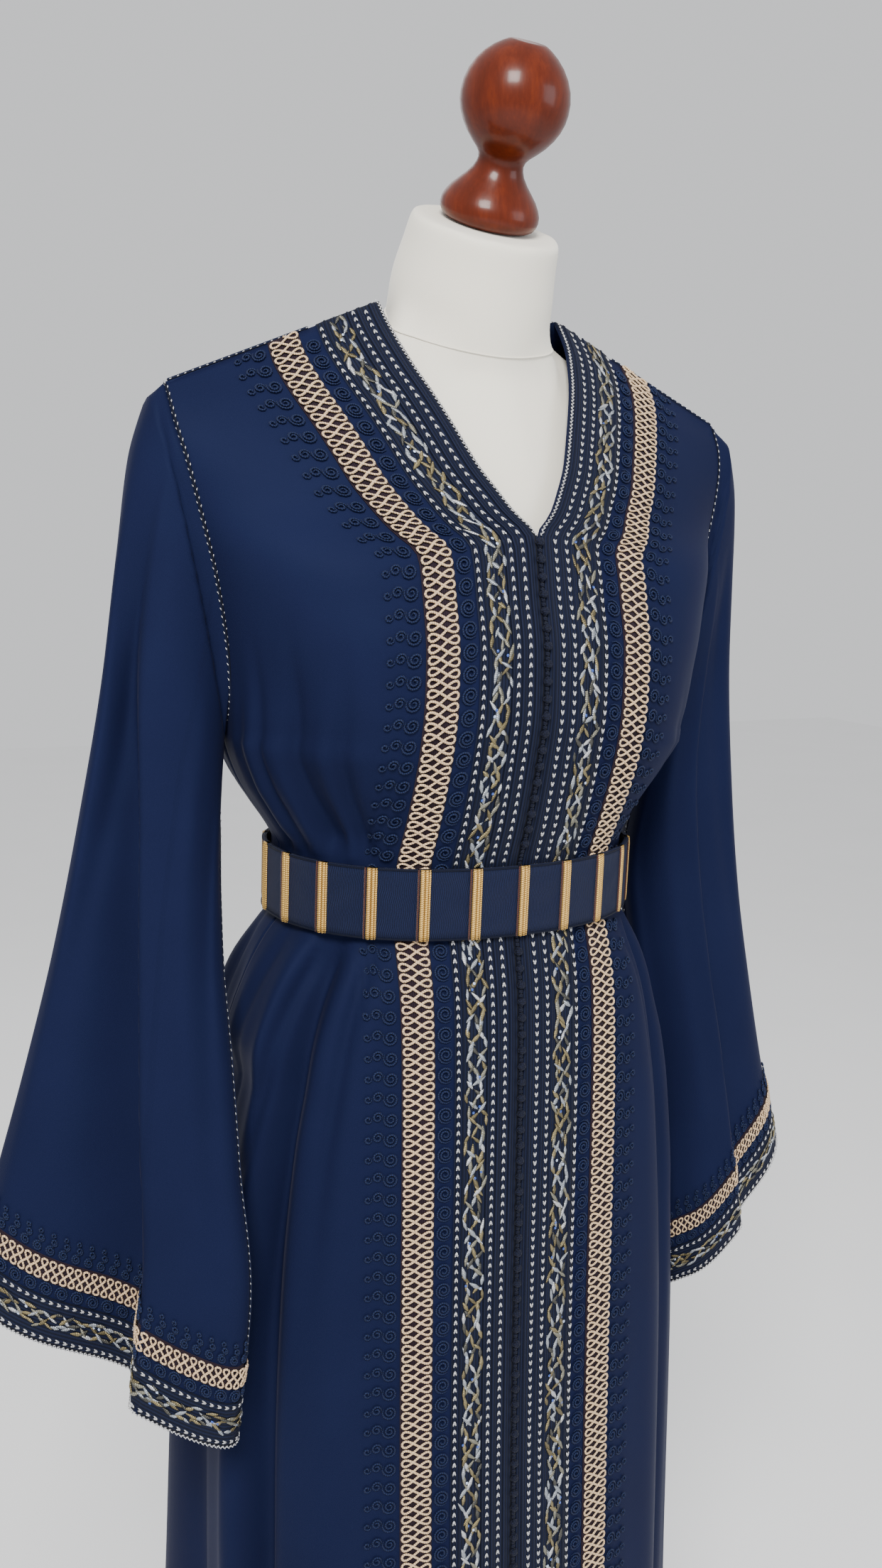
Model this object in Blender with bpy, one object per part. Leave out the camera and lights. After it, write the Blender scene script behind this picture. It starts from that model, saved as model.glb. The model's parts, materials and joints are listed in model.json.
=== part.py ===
# A floor-length kaftan with open front trimming and a cloth belt, on a limbless dress form.
# +Z is up, the front faces -Y, and the wearer's left is +X. The origin is the middle of the
# base disc's underside. Lengths in the tables are centimetres, and CM turns them into metres.

import math

import bmesh
import bpy
from mathutils import Vector

CM = 0.01

# Cloth and trimming thicknesses, and the seam gap, in cm
CLOTH = 0.2
SEAM_GAP = 0.03
TRIM_THICK = 0.15
BRAID_THICK = 0.2

# The heights that the pattern turns on, in cm
HEM_Z = 2.0
BELT_LOW, BELT_TOP = 101.4, 106.6
UNDERARM_Z = 115.0
V_POINT_Z = 129.9
NECK_POINT_X, NECK_POINT_Z = 7.4, 146.0
SHOULDER_TIP_X, SHOULDER_TIP_Z = 23.0, 139.3
SHOULDER_SLOPE = (NECK_POINT_Z - SHOULDER_TIP_Z) / (SHOULDER_TIP_X - NECK_POINT_X)
SHOULDER_Y = -0.3
BACK_NECK_Z = 146.8
BACK_NECK_Y = 7.6
BACK_CLIMB_Z, BACK_CLIMB_BEND = 127.0, 2.2

# Trimming columns, as distances from the front edge or neckline, in cm
TRIM_EDGE, TRIM_MID, TRIM_END = 0.0, 2.6, 5.2
BRAID_START, BRAID_END = 6.7, 9.2
SCROLL_END = 12.2
SIDE_COLUMNS = 11
FRONT_LINES = (TRIM_EDGE, TRIM_MID, TRIM_END, BRAID_START, BRAID_END, SCROLL_END)
FRONT_LAST_COLUMN = len(FRONT_LINES) + SIDE_COLUMNS - 1
BACK_HALF_COLUMNS = 10
NECKBAND_HALF_COLUMNS, NECKBAND_ROWS = 5, 3

# Cuff bands, as distances from the sleeve's hem, in cm
CUFF_BAND = (0.1, 3.2)
CUFF_BRAID = (4.3, 6.1)
CUFF_END = 7.8

# Depth of the body in front of the shoulder line, by height: z, front, back (cm)
DEPTHS = (
    (2.0, 17.3, 17.0),
    (20.0, 16.6, 16.4),
    (41.0, 15.7, 15.6),
    (54.0, 14.8, 15.1),
    (62.0, 14.2, 14.8),
    (75.0, 13.4, 14.2),
    (85.0, 12.9, 13.5),
    (92.0, 12.5, 12.8),
    (97.0, 12.0, 12.0),
    (100.2, 11.3, 10.7),
    (101.4, 11.0, 10.1),
    (106.6, 10.95, 10.1),
    (107.8, 11.3, 10.6),
    (110.0, 12.0, 11.0),
    (114.0, 12.9, 11.2),
    (118.0, 13.5, 11.3),
    (122.0, 13.3, 11.3),
    (126.0, 12.3, 11.2),
    (129.9, 11.4, 10.9),
    (133.0, 10.3, 10.6),
    (135.2, 9.3, 10.2),
    (138.9, 7.5, 9.6),
    (142.5, 5.5, 8.7),
    (144.0, 4.5, 8.3),
    (146.8, 2.5, 7.6),
    (147.6, 1.8, 7.6),
    (149.2, 0.3, 7.6),
)
# Outer edge of front and back: z, half width, y of the front's edge, y of the back's edge (cm).
# Up to the underarm it is the side seam, and above that the armhole.
SIDES = (
    (2.0, 24.0, 0.0, 0.0),
    (20.0, 23.2, 0.0, 0.0),
    (41.0, 22.4, 0.0, 0.0),
    (62.0, 22.0, 0.0, 0.0),
    (75.0, 21.3, 0.0, 0.0),
    (85.0, 20.2, 0.0, 0.0),
    (90.0, 19.2, 0.0, 0.0),
    (94.0, 18.2, 0.0, 0.0),
    (97.0, 17.0, 0.0, 0.0),
    (100.2, 15.0, 0.0, 0.0),
    (101.4, 14.1, 0.0, 0.0),
    (106.6, 14.1, 0.0, 0.0),
    (108.0, 14.8, 0.0, 0.0),
    (110.0, 16.2, 0.0, 0.0),
    (112.0, 17.5, 0.0, 0.0),
    (115.0, 18.6, 0.0, 0.0),
    (117.0, 18.8, -1.6, 1.9),
    (119.0, 19.0, -2.4, 3.0),
    (122.5, 19.5, -3.0, 4.0),
    (127.0, 20.4, -3.2, 4.2),
    (131.0, 21.4, -3.0, 3.9),
    (134.3, 22.2, -2.6, 3.0),
    (137.0, 22.8, -1.7, 1.6),
    (139.3, 23.0, SHOULDER_Y, SHOULDER_Y),
)
# Neckline of the front: z, half width (cm)
NECKLINE = (
    (129.9, 0.0),
    (131.6, 1.5),
    (133.1, 2.5),
    (134.7, 3.5),
    (137.0, 4.5),
    (139.3, 5.5),
    (141.6, 6.5),
    (144.5, 7.3),
    (146.0, 7.4),
)
# Rows of the body's panels, from the hem up: height at the front edge, height at the side (cm)
ROWS = (
    (2.0, 2.0),
    (15.0, 15.0),
    (28.0, 28.0),
    (41.0, 41.0),
    (53.0, 53.0),
    (63.0, 63.0),
    (72.0, 72.0),
    (80.0, 80.0),
    (86.5, 86.5),
    (92.0, 92.0),
    (96.0, 96.0),
    (99.3, 99.3),
    (101.2, 101.2),
    (106.8, 106.8),
    (108.3, 108.2),
    (110.6, 109.8),
    (113.4, 112.0),
    (116.8, 115.0),
    (120.2, 117.4),
    (123.6, 120.4),
    (127.0, 123.5),
    (129.9, 126.4),
    (132.4, 129.0),
    (135.2, 131.6),
    (138.2, 134.2),
    (141.2, 136.6),
    (144.0, 138.3),
    (146.0, 139.3),
)
UNDERARM_ROW = 17
V_ROW = 21

# Hanging folds of the skirt and gathers of the bodice. The angle is measured round the body
# from the centre front, + to the wearer's left, in degrees, and the depths are cm, - inwards.
# angle, half width, lowest z, highest z, depth at the lowest z, depth at the highest z
FOLDS = (
    (-39.0, 6.0, 2.0, 99.0, 0.9, 0.3),
    (-52.0, 5.5, 2.0, 101.0, -3.2, -1.5),
    (-66.0, 5.0, 2.0, 101.0, 0.8, 0.6),
    (-84.0, 26.0, 2.0, 92.0, -3.6, -1.6),
    (-98.0, 8.0, 2.0, 99.0, -2.0, -0.6),
    (-118.0, 8.0, 2.0, 99.0, 1.0, 0.3),
    (-138.0, 7.0, 2.0, 99.0, -1.8, -0.7),
    (-158.0, 8.0, 2.0, 99.0, 0.9, 0.3),
    (180.0, 8.0, 2.0, 99.0, -1.4, -0.6),
    (158.0, 8.0, 2.0, 99.0, 0.9, 0.3),
    (136.0, 7.0, 2.0, 99.0, -1.8, -0.7),
    (116.0, 8.0, 2.0, 99.0, 1.0, 0.3),
    (94.0, 8.0, 2.0, 99.0, -1.7, -0.5),
    (76.0, 12.0, 2.0, 92.0, 1.6, 0.4),
    (56.0, 6.0, 2.0, 100.0, -2.0, -0.8),
    (42.0, 6.0, 2.0, 99.0, 0.5, 0.2),
    (-55.0, 7.0, 107.5, 121.0, -1.3, -0.2),
    (-72.0, 8.0, 107.5, 119.0, 0.7, 0.1),
    (56.0, 7.0, 107.5, 119.0, -0.9, -0.1),
    (74.0, 8.0, 107.5, 119.0, 0.6, 0.1),
    (-130.0, 9.0, 107.5, 125.0, -1.0, -0.2),
    (132.0, 9.0, 107.5, 125.0, -1.0, -0.2),
)
FOLD_FADE = 3.0

# Sleeves, hanging from the armholes as flattened tubes. Along the length, 0 at the armhole:
# share, top fold x y z, underarm seam x y z, bulge of the outer face, of the inner face,
# depth of the valley down the outer face (cm). The right one wraps the hip, the left hangs free.
SLEEVE_RIGHT = (
    (0.03, 24.2, -0.2, 138.2, 18.85, 0.0, 113.9, 3.1, 4.0, 0.0),
    (0.09, 25.3, 0.0, 134.6, 19.1, -0.5, 111.6, 3.1, 4.0, 0.4),
    (0.20, 26.3, 0.3, 127.5, 19.4, -1.7, 108.0, 3.0, 3.7, 1.4),
    (0.33, 27.2, 0.6, 119.0, 19.7, -2.9, 103.4, 3.0, 3.3, 2.2),
    (0.48, 28.7, 1.0, 109.3, 19.9, -4.4, 98.0, 3.0, 3.0, 2.7),
    (0.62, 30.4, 1.3, 100.2, 19.9, -6.2, 92.2, 3.0, 2.4, 3.1),
    (0.75, 32.4, 1.5, 91.9, 19.8, -7.6, 85.4, 3.1, 2.0, 3.4),
    (0.88, 34.6, 1.7, 83.8, 19.3, -8.8, 76.8, 3.2, 1.8, 3.7),
    (1.00, 36.8, 1.8, 76.0, 20.3, -9.2, 65.2, 3.4, 1.8, 3.9),
)
SLEEVE_LEFT = (
    (0.03, 24.2, -0.2, 138.2, 18.85, 0.0, 113.9, 3.1, 4.0, 0.0),
    (0.09, 25.3, 0.0, 134.6, 18.9, 0.7, 111.4, 3.2, 4.0, 0.1),
    (0.20, 26.2, 0.3, 127.5, 18.7, 1.6, 107.2, 3.3, 3.7, 0.4),
    (0.33, 26.9, 0.6, 119.0, 18.5, 2.1, 102.2, 3.5, 3.5, 0.7),
    (0.48, 28.2, 1.0, 109.3, 19.4, 2.0, 95.8, 3.8, 3.3, 0.9),
    (0.62, 29.8, 1.4, 100.2, 20.9, 1.7, 88.6, 4.0, 3.2, 1.0),
    (0.75, 31.8, 1.8, 91.7, 22.3, 1.3, 80.8, 4.3, 3.2, 1.1),
    (0.88, 34.0, 2.2, 83.6, 23.3, 0.9, 72.2, 4.6, 3.2, 1.2),
    (1.00, 36.6, 2.5, 75.4, 23.9, 0.5, 62.8, 5.0, 3.4, 1.3),
)
VALLEY_ANGLE, VALLEY_WIDTH = math.radians(93.0), math.radians(22.0)
SLEEVE_COLUMNS = 20
SLEEVE_ROWS = 9

# Dress form (cm)
FORM_LOW_Z = 84.0
FORM_INSET = 0.8
NECK_BASE_X = 6.2
FORM_RIDGE_END_X = 19.4
RIDGE_GAP = 0.045
NECK_TOP = (0.0, -2.3, 151.85)
NECK_LEAN = math.radians(24.0)
# Neck rings along its axis: drop below the top, radius (cm)
NECK_RINGS = ((4.6, 6.25), (2.2, 5.75), (0.35, 5.62), (0.0, 5.3))
NECK_FOOT_Y = 0.8
# Turned knob along its own axis: height above the neck, radius (cm)
KNOB = (
    (0.0, 2.9),
    (0.3, 3.4),
    (0.9, 3.62),
    (1.7, 3.4),
    (2.6, 2.7),
    (3.6, 1.85),
    (4.3, 1.65),
    (4.9, 1.95),
    (5.8, 2.85),
    (7.0, 3.6),
    (8.2, 3.84),
    (9.6, 3.6),
    (10.9, 2.75),
    (11.7, 1.75),
    (12.0, 1.25),
)
KNOB_SIDES = 16
POLE_RADIUS = 1.6
POLE_SIDES = 16
# Foot disc with its collar: height, radius (cm)
BASE = ((0.0, 14.7), (0.3, 15.0), (1.2, 15.0), (1.6, 14.4), (2.0, 4.0), (2.6, 3.0), (5.0, 2.6))
BASE_SIDES = 32

# Belt (cm)
BELT_STANDOFF = 0.36
BELT_THICK = 0.3
BELT_SIDES = 44
BAR_COUNT = 22
BAR_WIDTH = 0.85
BAR_RISE = 0.14
FIRST_BAR_ARC = 0.2

# Knot buttons down the centre front, above the belt (cm)
BUTTON_COUNT = 18
BUTTON_TOP_Z = 129.0
BUTTON_LOW_Z = 107.9
BUTTON_WIDE, BUTTON_DEEP = 0.42, 0.3

MATERIALS = {
    "navy_cloth": ((0.012, 0.022, 0.075), 0.5, 0.0),
    "navy_braid": ((0.015, 0.021, 0.052), 0.7, 0.0),
    "cream_braid": ((0.72, 0.55, 0.38), 0.65, 0.0),
    "belt_gold": ((0.56, 0.4, 0.16), 0.4, 0.3),
    "knot_thread": ((0.006, 0.008, 0.02), 0.75, 0.0),
    "form_cover": ((0.76, 0.72, 0.63), 0.8, 0.0),
    "turned_wood": ((0.2, 0.045, 0.012), 0.25, 0.0),
    "stand_metal": ((0.3, 0.3, 0.31), 0.35, 0.9),
}


def clear_scene():
    for thing in list(bpy.data.objects):
        bpy.data.objects.remove(thing, do_unlink=True)


def material(name):
    known = bpy.data.materials.get(name)
    if known:
        return known
    colour, roughness, metallic = MATERIALS[name]
    made = bpy.data.materials.new(name)
    made.use_nodes = True
    shader = made.node_tree.nodes["Principled BSDF"]
    shader.inputs["Base Color"].default_value = (*colour, 1.0)
    shader.inputs["Roughness"].default_value = roughness
    shader.inputs["Metallic"].default_value = metallic
    made.diffuse_color = (*colour, 1.0)
    return made


def read(table, at, column):
    """Smooth value of a table's column where its first column equals at."""
    last = len(table) - 1
    at = min(max(at, table[0][0]), table[last][0])
    i = 0
    while i < last - 1 and at > table[i + 1][0]:
        i += 1

    def slope(k):
        if k in (0, last):
            return 0.0 if k == 0 else (
                (table[k][column] - table[k - 1][column]) / (table[k][0] - table[k - 1][0])
            )
        before = (table[k][column] - table[k - 1][column]) / (table[k][0] - table[k - 1][0])
        after = (table[k + 1][column] - table[k][column]) / (table[k + 1][0] - table[k][0])
        if before * after <= 0.0:
            return 0.0
        return 2.0 * before * after / (before + after)

    span = table[i + 1][0] - table[i][0]
    f = (at - table[i][0]) / span
    p, q = table[i][column], table[i + 1][column]
    a, b = slope(i) * span, slope(i + 1) * span
    f2, f3 = f * f, f * f * f
    return (2 * f3 - 3 * f2 + 1) * p + (f3 - 2 * f2 + f) * a + (3 * f2 - 2 * f3) * q + (f3 - f2) * b


def smooth(low, high, at):
    f = min(max((at - low) / (high - low), 0.0), 1.0)
    return f * f * (3.0 - 2.0 * f)


def mix(a, b, f):
    return a + (b - a) * f


def fall(share, z):
    """How far the front or back has turned from its middle (0) to its outer edge (1)."""
    bend = mix(2.2, 3.2, smooth(108.0, 122.0, z))
    reach = mix(1.0, 1.04, smooth(UNDERARM_Z, UNDERARM_Z + 6.0, z))
    deep = (1.0 - min(share / reach, 1.0) ** bend) ** (1.0 / bend)
    edge = (1.0 - (1.0 / reach) ** bend) ** (1.0 / bend)
    return (1.0 - deep) / (1.0 - edge)


def fold_depth(x, y, z, half_width, depth):
    """Push of the folds along the surface's outward direction, in cm."""
    turn = math.degrees(math.atan2(x / half_width, -y / depth))
    push = 0.0
    for angle, width, low, high, low_depth, high_depth in FOLDS:
        if not low - FOLD_FADE < z < high + FOLD_FADE:
            continue
        away = (turn - angle + 180.0) % 360.0 - 180.0
        if abs(away) > 3.0 * width:
            continue
        share = min(max((z - low) / (high - low), 0.0), 1.0)
        fade = smooth(high + 1.5, high - FOLD_FADE, z)
        if low > HEM_Z:
            fade *= smooth(low - 0.8, low + 1.5, z)
        push += mix(low_depth, high_depth, share) * fade * math.exp(-((away / width) ** 2))
    return push


def pushed(x, y, z, half_width, depth):
    """The surface point moved out or in by the folds."""
    push = fold_depth(x, y, z, half_width, depth)
    out = Vector((x / half_width**2, y / depth**2))
    if out.length < 1e-9:
        return Vector((x, y, z))
    out.normalize()
    return Vector((x + out.x * push, y + out.y * push, z))


def front_depth(x, z):
    """Depth of the front's middle at height z, which follows the shoulder's slope near the top."""
    return read(DEPTHS, z + SHOULDER_SLOPE * x * smooth(126.0, 132.0, z), 1)


def row_heights(row):
    """Front and side height of a row, whole or between two."""
    i = min(int(row), len(ROWS) - 2)
    f = row - i
    return mix(ROWS[i][0], ROWS[i + 1][0], f), mix(ROWS[i][1], ROWS[i + 1][1], f)


def front_point(row, x, side):
    """Point of the front panel on a row, at a distance x from the middle plane."""
    front_z, side_z = row_heights(row)
    inner_x = read(NECKLINE, front_z, 1) if front_z > V_POINT_Z else 0.0
    outer_x = read(SIDES, side_z, 1)
    share = (x - inner_x) / (outer_x - inner_x)
    z = mix(front_z, side_z, share)
    edge_y = read(SIDES, side_z, 2)
    y = mix(-front_depth(x, z), edge_y, fall(min(x / outer_x, 1.0), z))
    depth = read(DEPTHS, min(z, 146.0), 1)
    point = pushed(side * x, y, z, outer_x, depth)
    point.x *= side
    return point


def back_point(row, x, side):
    """Point of the back panel on a row, at a distance x from the middle plane."""
    front_z, side_z = row_heights(row)
    rise = smooth(V_POINT_Z, NECK_POINT_Z, front_z)
    middle_z = front_z + (BACK_NECK_Z - NECK_POINT_Z) * rise
    outer_x = read(SIDES, side_z, 1)
    if x < NECK_POINT_X:
        z = mix(middle_z, front_z, x / NECK_POINT_X)
    else:
        z = mix(front_z, side_z, (x - NECK_POINT_X) / (outer_x - NECK_POINT_X))
    if front_z < 112.0:
        z = mix(front_z, side_z, x / outer_x)
    share = smooth(112.0, 122.0, front_z)
    z = mix(mix(front_z, side_z, x / outer_x), z, share)
    middle = read(DEPTHS, middle_z, 2)
    edge_y = read(SIDES, side_z, 3)
    y = mix(middle, edge_y, fall(min(x / outer_x, 1.0), z))
    ridge_z = NECK_POINT_Z - SHOULDER_SLOPE * (x - NECK_POINT_X)
    if x < NECK_POINT_X:
        top_y = mix(SHOULDER_Y, BACK_NECK_Y, math.sqrt(1.0 - (x / NECK_POINT_X) ** 2))
        ridge_z = mix(BACK_NECK_Z, NECK_POINT_Z, x / NECK_POINT_X)
    else:
        top_y = SHOULDER_Y
    if z > BACK_CLIMB_Z:
        climb = min((z - BACK_CLIMB_Z) / (ridge_z - BACK_CLIMB_Z), 1.0)
        y = mix(y, top_y, climb**BACK_CLIMB_BEND)
    point = pushed(side * x, y, z, outer_x, max(middle, 1.0))
    point.x *= side
    return point


def walk(curve, low, high, steps=160):
    """Arc length along curve(x) from low to high, as a list of (length, x)."""
    marks = [(0.0, low)]
    last = curve(low)
    total = 0.0
    for i in range(1, steps + 1):
        x = mix(low, high, i / steps)
        here = curve(x)
        total += (here - last).length
        marks.append((total, x))
        last = here
    return marks


def at_length(marks, length):
    for (a, x), (b, y) in zip(marks, marks[1:]):
        if length <= b:
            return mix(x, y, (length - a) / max(b - a, 1e-9))
    return marks[-1][1]


def front_columns(row, side):
    """Places x of the front's columns on a row: the trimming's lines, then even steps."""
    front_z, side_z = row_heights(row)
    inner_x = read(NECKLINE, front_z, 1) if front_z > V_POINT_Z else 0.0
    outer_x = read(SIDES, side_z, 1)
    marks = walk(lambda x: front_point(row, x, side), inner_x, outer_x)
    total = marks[-1][0]
    rest = [mix(SCROLL_END, total, k / SIDE_COLUMNS) for k in range(1, SIDE_COLUMNS + 1)]
    return [at_length(marks, length) for length in list(FRONT_LINES) + rest]


def front_grid(side):
    """Outer points of one front, rows from the hem up, columns from the front edge out."""
    grid = []
    for row in range(len(ROWS)):
        line = []
        for column, x in enumerate(front_columns(row, side)):
            point = front_point(row, x, side)
            if column == 0 and row <= V_ROW:
                point.x = SEAM_GAP / 2
            if row == len(ROWS) - 1:
                point.y = SHOULDER_Y - SEAM_GAP / 2
            if column == FRONT_LAST_COLUMN and row <= UNDERARM_ROW:
                point.y = -SEAM_GAP / 2
            line.append(Vector((side * point.x, point.y, point.z)))
        grid.append(line)
    return grid


def back_grid():
    """Outer points of the back, rows from the hem up, columns from right to left side."""
    half = BACK_HALF_COLUMNS
    grid = []
    for row in range(len(ROWS)):
        _, side_z = row_heights(row)
        outer_x = read(SIDES, side_z, 1)
        top_share = smooth(V_POINT_Z, NECK_POINT_Z, ROWS[row][0])
        line = []
        for column in range(-half, half + 1):
            k = abs(column) / half
            side = -1 if column < 0 else 1
            even = outer_x * math.sin(k * math.pi / 2)
            if k <= 0.5:
                parted = NECK_POINT_X * math.sin(k * math.pi)
            else:
                parted = mix(NECK_POINT_X, outer_x, (k - 0.5) * 2.0)
            x = mix(even, parted, top_share)
            point = back_point(row, x, side)
            if row == len(ROWS) - 1:
                point.y = max(point.y, SHOULDER_Y + SEAM_GAP / 2)
            if abs(column) == half and row <= UNDERARM_ROW:
                point.y = SEAM_GAP / 2
            line.append(Vector((side * point.x, point.y, point.z)))
        grid.append(line)
    return grid


def normals(grid, closed):
    """Outward unit normals of a grid of points, averaged over the faces round each."""
    rows, columns = len(grid), len(grid[0])
    out = [[Vector() for _ in range(columns)] for _ in range(rows)]
    for i in range(rows - 1):
        for j in range(columns if closed else columns - 1):
            k = (j + 1) % columns
            a, b, c, d = grid[i][j], grid[i][k], grid[i + 1][k], grid[i + 1][j]
            face = (c - a).cross(d - b)
            for r, s in ((i, j), (i, k), (i + 1, k), (i + 1, j)):
                out[r][s] += face
    for line in out:
        for normal in line:
            normal.normalize()
    return out


def moved(grid, directions, distance):
    return [[p + n * distance for p, n in zip(a, b)] for a, b in zip(grid, directions)]


def make_object(name, points, faces, look):
    mesh = bpy.data.meshes.new(name)
    mesh.from_pydata([p * CM for p in points], [], faces)
    bm = bmesh.new()
    bm.from_mesh(mesh)
    bmesh.ops.remove_doubles(bm, verts=bm.verts, dist=1e-6)
    bmesh.ops.recalc_face_normals(bm, faces=bm.faces)
    bm.to_mesh(mesh)
    bm.free()
    mesh.shade_smooth()
    mesh.set_sharp_from_angle(angle=math.radians(50.0))
    mesh.materials.append(material(look))
    made = bpy.data.objects.new(name, mesh)
    bpy.context.collection.objects.link(made)
    return made


def wall(name, outer, inner, look, closed=False):
    """A closed solid between two grids of points, open ended or wrapped round."""
    rows, columns = len(outer), len(outer[0])
    points = [p for line in outer for p in line] + [p for line in inner for p in line]
    far = rows * columns
    steps = columns if closed else columns - 1
    faces = []
    for i in range(rows - 1):
        for j in range(steps):
            k = (j + 1) % columns
            a, b = i * columns + j, i * columns + k
            c, d = b + columns, a + columns
            faces += [(a, b, c), (a, c, d)]
            faces += [(far + a, far + c, far + b), (far + a, far + d, far + c)]
    for i, flip in ((0, False), (rows - 1, True)):
        for j in range(steps):
            a, b = i * columns + j, i * columns + (j + 1) % columns
            ring = (a, far + a, far + b, b)
            ring = ring[::-1] if flip else ring
            faces += [(ring[0], ring[1], ring[2]), (ring[0], ring[2], ring[3])]
    if not closed:
        for j, flip in ((0, True), (columns - 1, False)):
            for i in range(rows - 1):
                a, b = i * columns + j, (i + 1) * columns + j
                ring = (a, far + a, far + b, b)
                ring = ring[::-1] if flip else ring
                faces += [(ring[0], ring[1], ring[2]), (ring[0], ring[2], ring[3])]
    return make_object(name, points, faces, look)


def in_plane(direction, **zero):
    """The direction without the named axes' parts, at full length."""
    flat = Vector([0.0 if axis in zero else value for axis, value in zip("xyz", direction)])
    return flat.normalized()


def front_directions(grid, side):
    """Outward directions of a front, kept in the seam's plane along each seam."""
    out = normals(grid, False)
    for line in out:
        for n in line:
            n *= side
    for row, line in enumerate(out):
        if row <= V_ROW:
            line[0] = in_plane(line[0], x=0)
        if row <= UNDERARM_ROW:
            line[-1] = in_plane(line[-1], y=0)
    out[-1] = [in_plane(n, y=0) for n in out[-1]]
    return out


def back_directions(grid):
    out = normals(grid, False)
    for line in out:
        for n in line:
            n.negate()
    for row, line in enumerate(out):
        if row <= UNDERARM_ROW:
            line[0] = in_plane(line[0], y=0)
            line[-1] = in_plane(line[-1], y=0)
    top = grid[-1]
    for column, point in enumerate(top):
        if abs(point.x) >= NECK_POINT_X - 0.2:
            out[-1][column] = in_plane(out[-1][column], y=0)
        else:
            out[-1][column] = in_plane(out[-1][column], z=0)
    return out


def on_grid(grid, directions, columns, lift, thick):
    """Outer and inner points of a strip that lies on chosen columns of a panel."""
    pairs = list(zip(grid, directions))
    low = [[line[c] + way[c] * lift for c in columns] for line, way in pairs]
    high = [[line[c] + way[c] * (lift + thick) for c in columns] for line, way in pairs]
    return high, low


def body_panels():
    """Both fronts with their trimmings, and the back with the neckband."""
    front_edges = {}
    for name, side in (("right", -1), ("left", 1)):
        grid = front_grid(side)
        front_edges[side] = [line[-1] for line in grid[UNDERARM_ROW:]]
        ways = front_directions(grid, side)
        wall(f"front_{name}", grid, moved(grid, ways, -CLOTH), "navy_cloth")
        high, low = on_grid(grid, ways, (0, 1, 2), SEAM_GAP, TRIM_THICK)
        wall(f"placket_{name}", high, low, "navy_braid")
        high, low = on_grid(grid, ways, (3, 4), SEAM_GAP, BRAID_THICK)
        wall(f"cream_braid_{name}", high, low, "cream_braid")
    grid = back_grid()
    ways = back_directions(grid)
    wall("back", grid, moved(grid, ways, -CLOTH), "navy_cloth")
    neckband(grid, ways)
    return {
        side: armhole_ring(front_edges[side], [line[end] for line in grid[UNDERARM_ROW:]], side)
        for side, end in ((-1, 0), (1, -1))
    }


def neckband(grid, ways):
    """The trimming carried on round the back of the neck, on the back panel's points."""
    centre = BACK_HALF_COLUMNS
    columns = range(centre - NECKBAND_HALF_COLUMNS, centre + NECKBAND_HALF_COLUMNS + 1)
    high, low = on_grid(grid[-NECKBAND_ROWS:], ways[-NECKBAND_ROWS:], columns, SEAM_GAP, TRIM_THICK)
    wall("neckband", high, low, "navy_braid")


def sleeve_ring(share, side, count=SLEEVE_COLUMNS):
    """One ring of the sleeve's outer surface, from the top fold round by the outer face."""
    shape = SLEEVE_LEFT if side > 0 else SLEEVE_RIGHT
    top = Vector([read(shape, share, c) for c in (1, 2, 3)])
    seam = Vector([read(shape, share, c) for c in (4, 5, 6)])
    outer_bulge, inner_bulge, valley = (read(shape, share, c) for c in (7, 8, 9))
    middle, half = (top + seam) / 2, (top - seam) / 2
    along = Vector((half.x, half.y, 0.0)).normalized()
    facing = Vector((along.y, -along.x, 0.0))
    start = smooth(0.25, 0.0, share)
    facing = mix(facing, Vector((0.0, -1.0, 0.0)), start).normalized()
    ring = []
    for k in range(count):
        turn = 2 * math.pi * k / count
        rise = abs(math.sin(turn))
        if turn < math.pi:
            away = (turn - VALLEY_ANGLE) / VALLEY_WIDTH
            push = outer_bulge * rise**0.75 - valley * math.exp(-(away**2))
        else:
            push = -inner_bulge * rise ** mix(0.75, 1.3, share)
        point = middle + half * math.cos(turn) + facing * push
        ring.append(Vector((side * point.x, point.y, point.z)))
    return ring


def armhole_ring(front_edge, back_edge, side):
    """The sleeve's first ring, just outside the edges of front and back, top point first."""
    ring = front_edge[::-1] + back_edge[1:-1]
    ring = [p + Vector((side * SEAM_GAP, 0.0, 0.0)) for p in ring]
    ring[0].y = SHOULDER_Y
    ring[len(front_edge) - 1].y = 0.0
    return ring


def sleeve_lines(side, first_ring):
    """For each column, points from the armhole to the hem with their distance to the hem."""
    shares = [0.03 + 0.97 * k / 40 for k in range(41)]
    rings = [first_ring] + [sleeve_ring(share, side) for share in shares]
    lines = []
    for column in range(SLEEVE_COLUMNS):
        line = [ring[column] for ring in rings][::-1]
        total, marks = 0.0, [(0.0, line[0])]
        for a, b in zip(line, line[1:]):
            total += (b - a).length
            marks.append((total, b))
        lines.append(marks)
    return lines


def on_line(marks, length):
    for (a, p), (b, q) in zip(marks, marks[1:]):
        if length <= b:
            return p.lerp(q, (length - a) / max(b - a, 1e-9))
    return marks[-1][1].copy()


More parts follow.
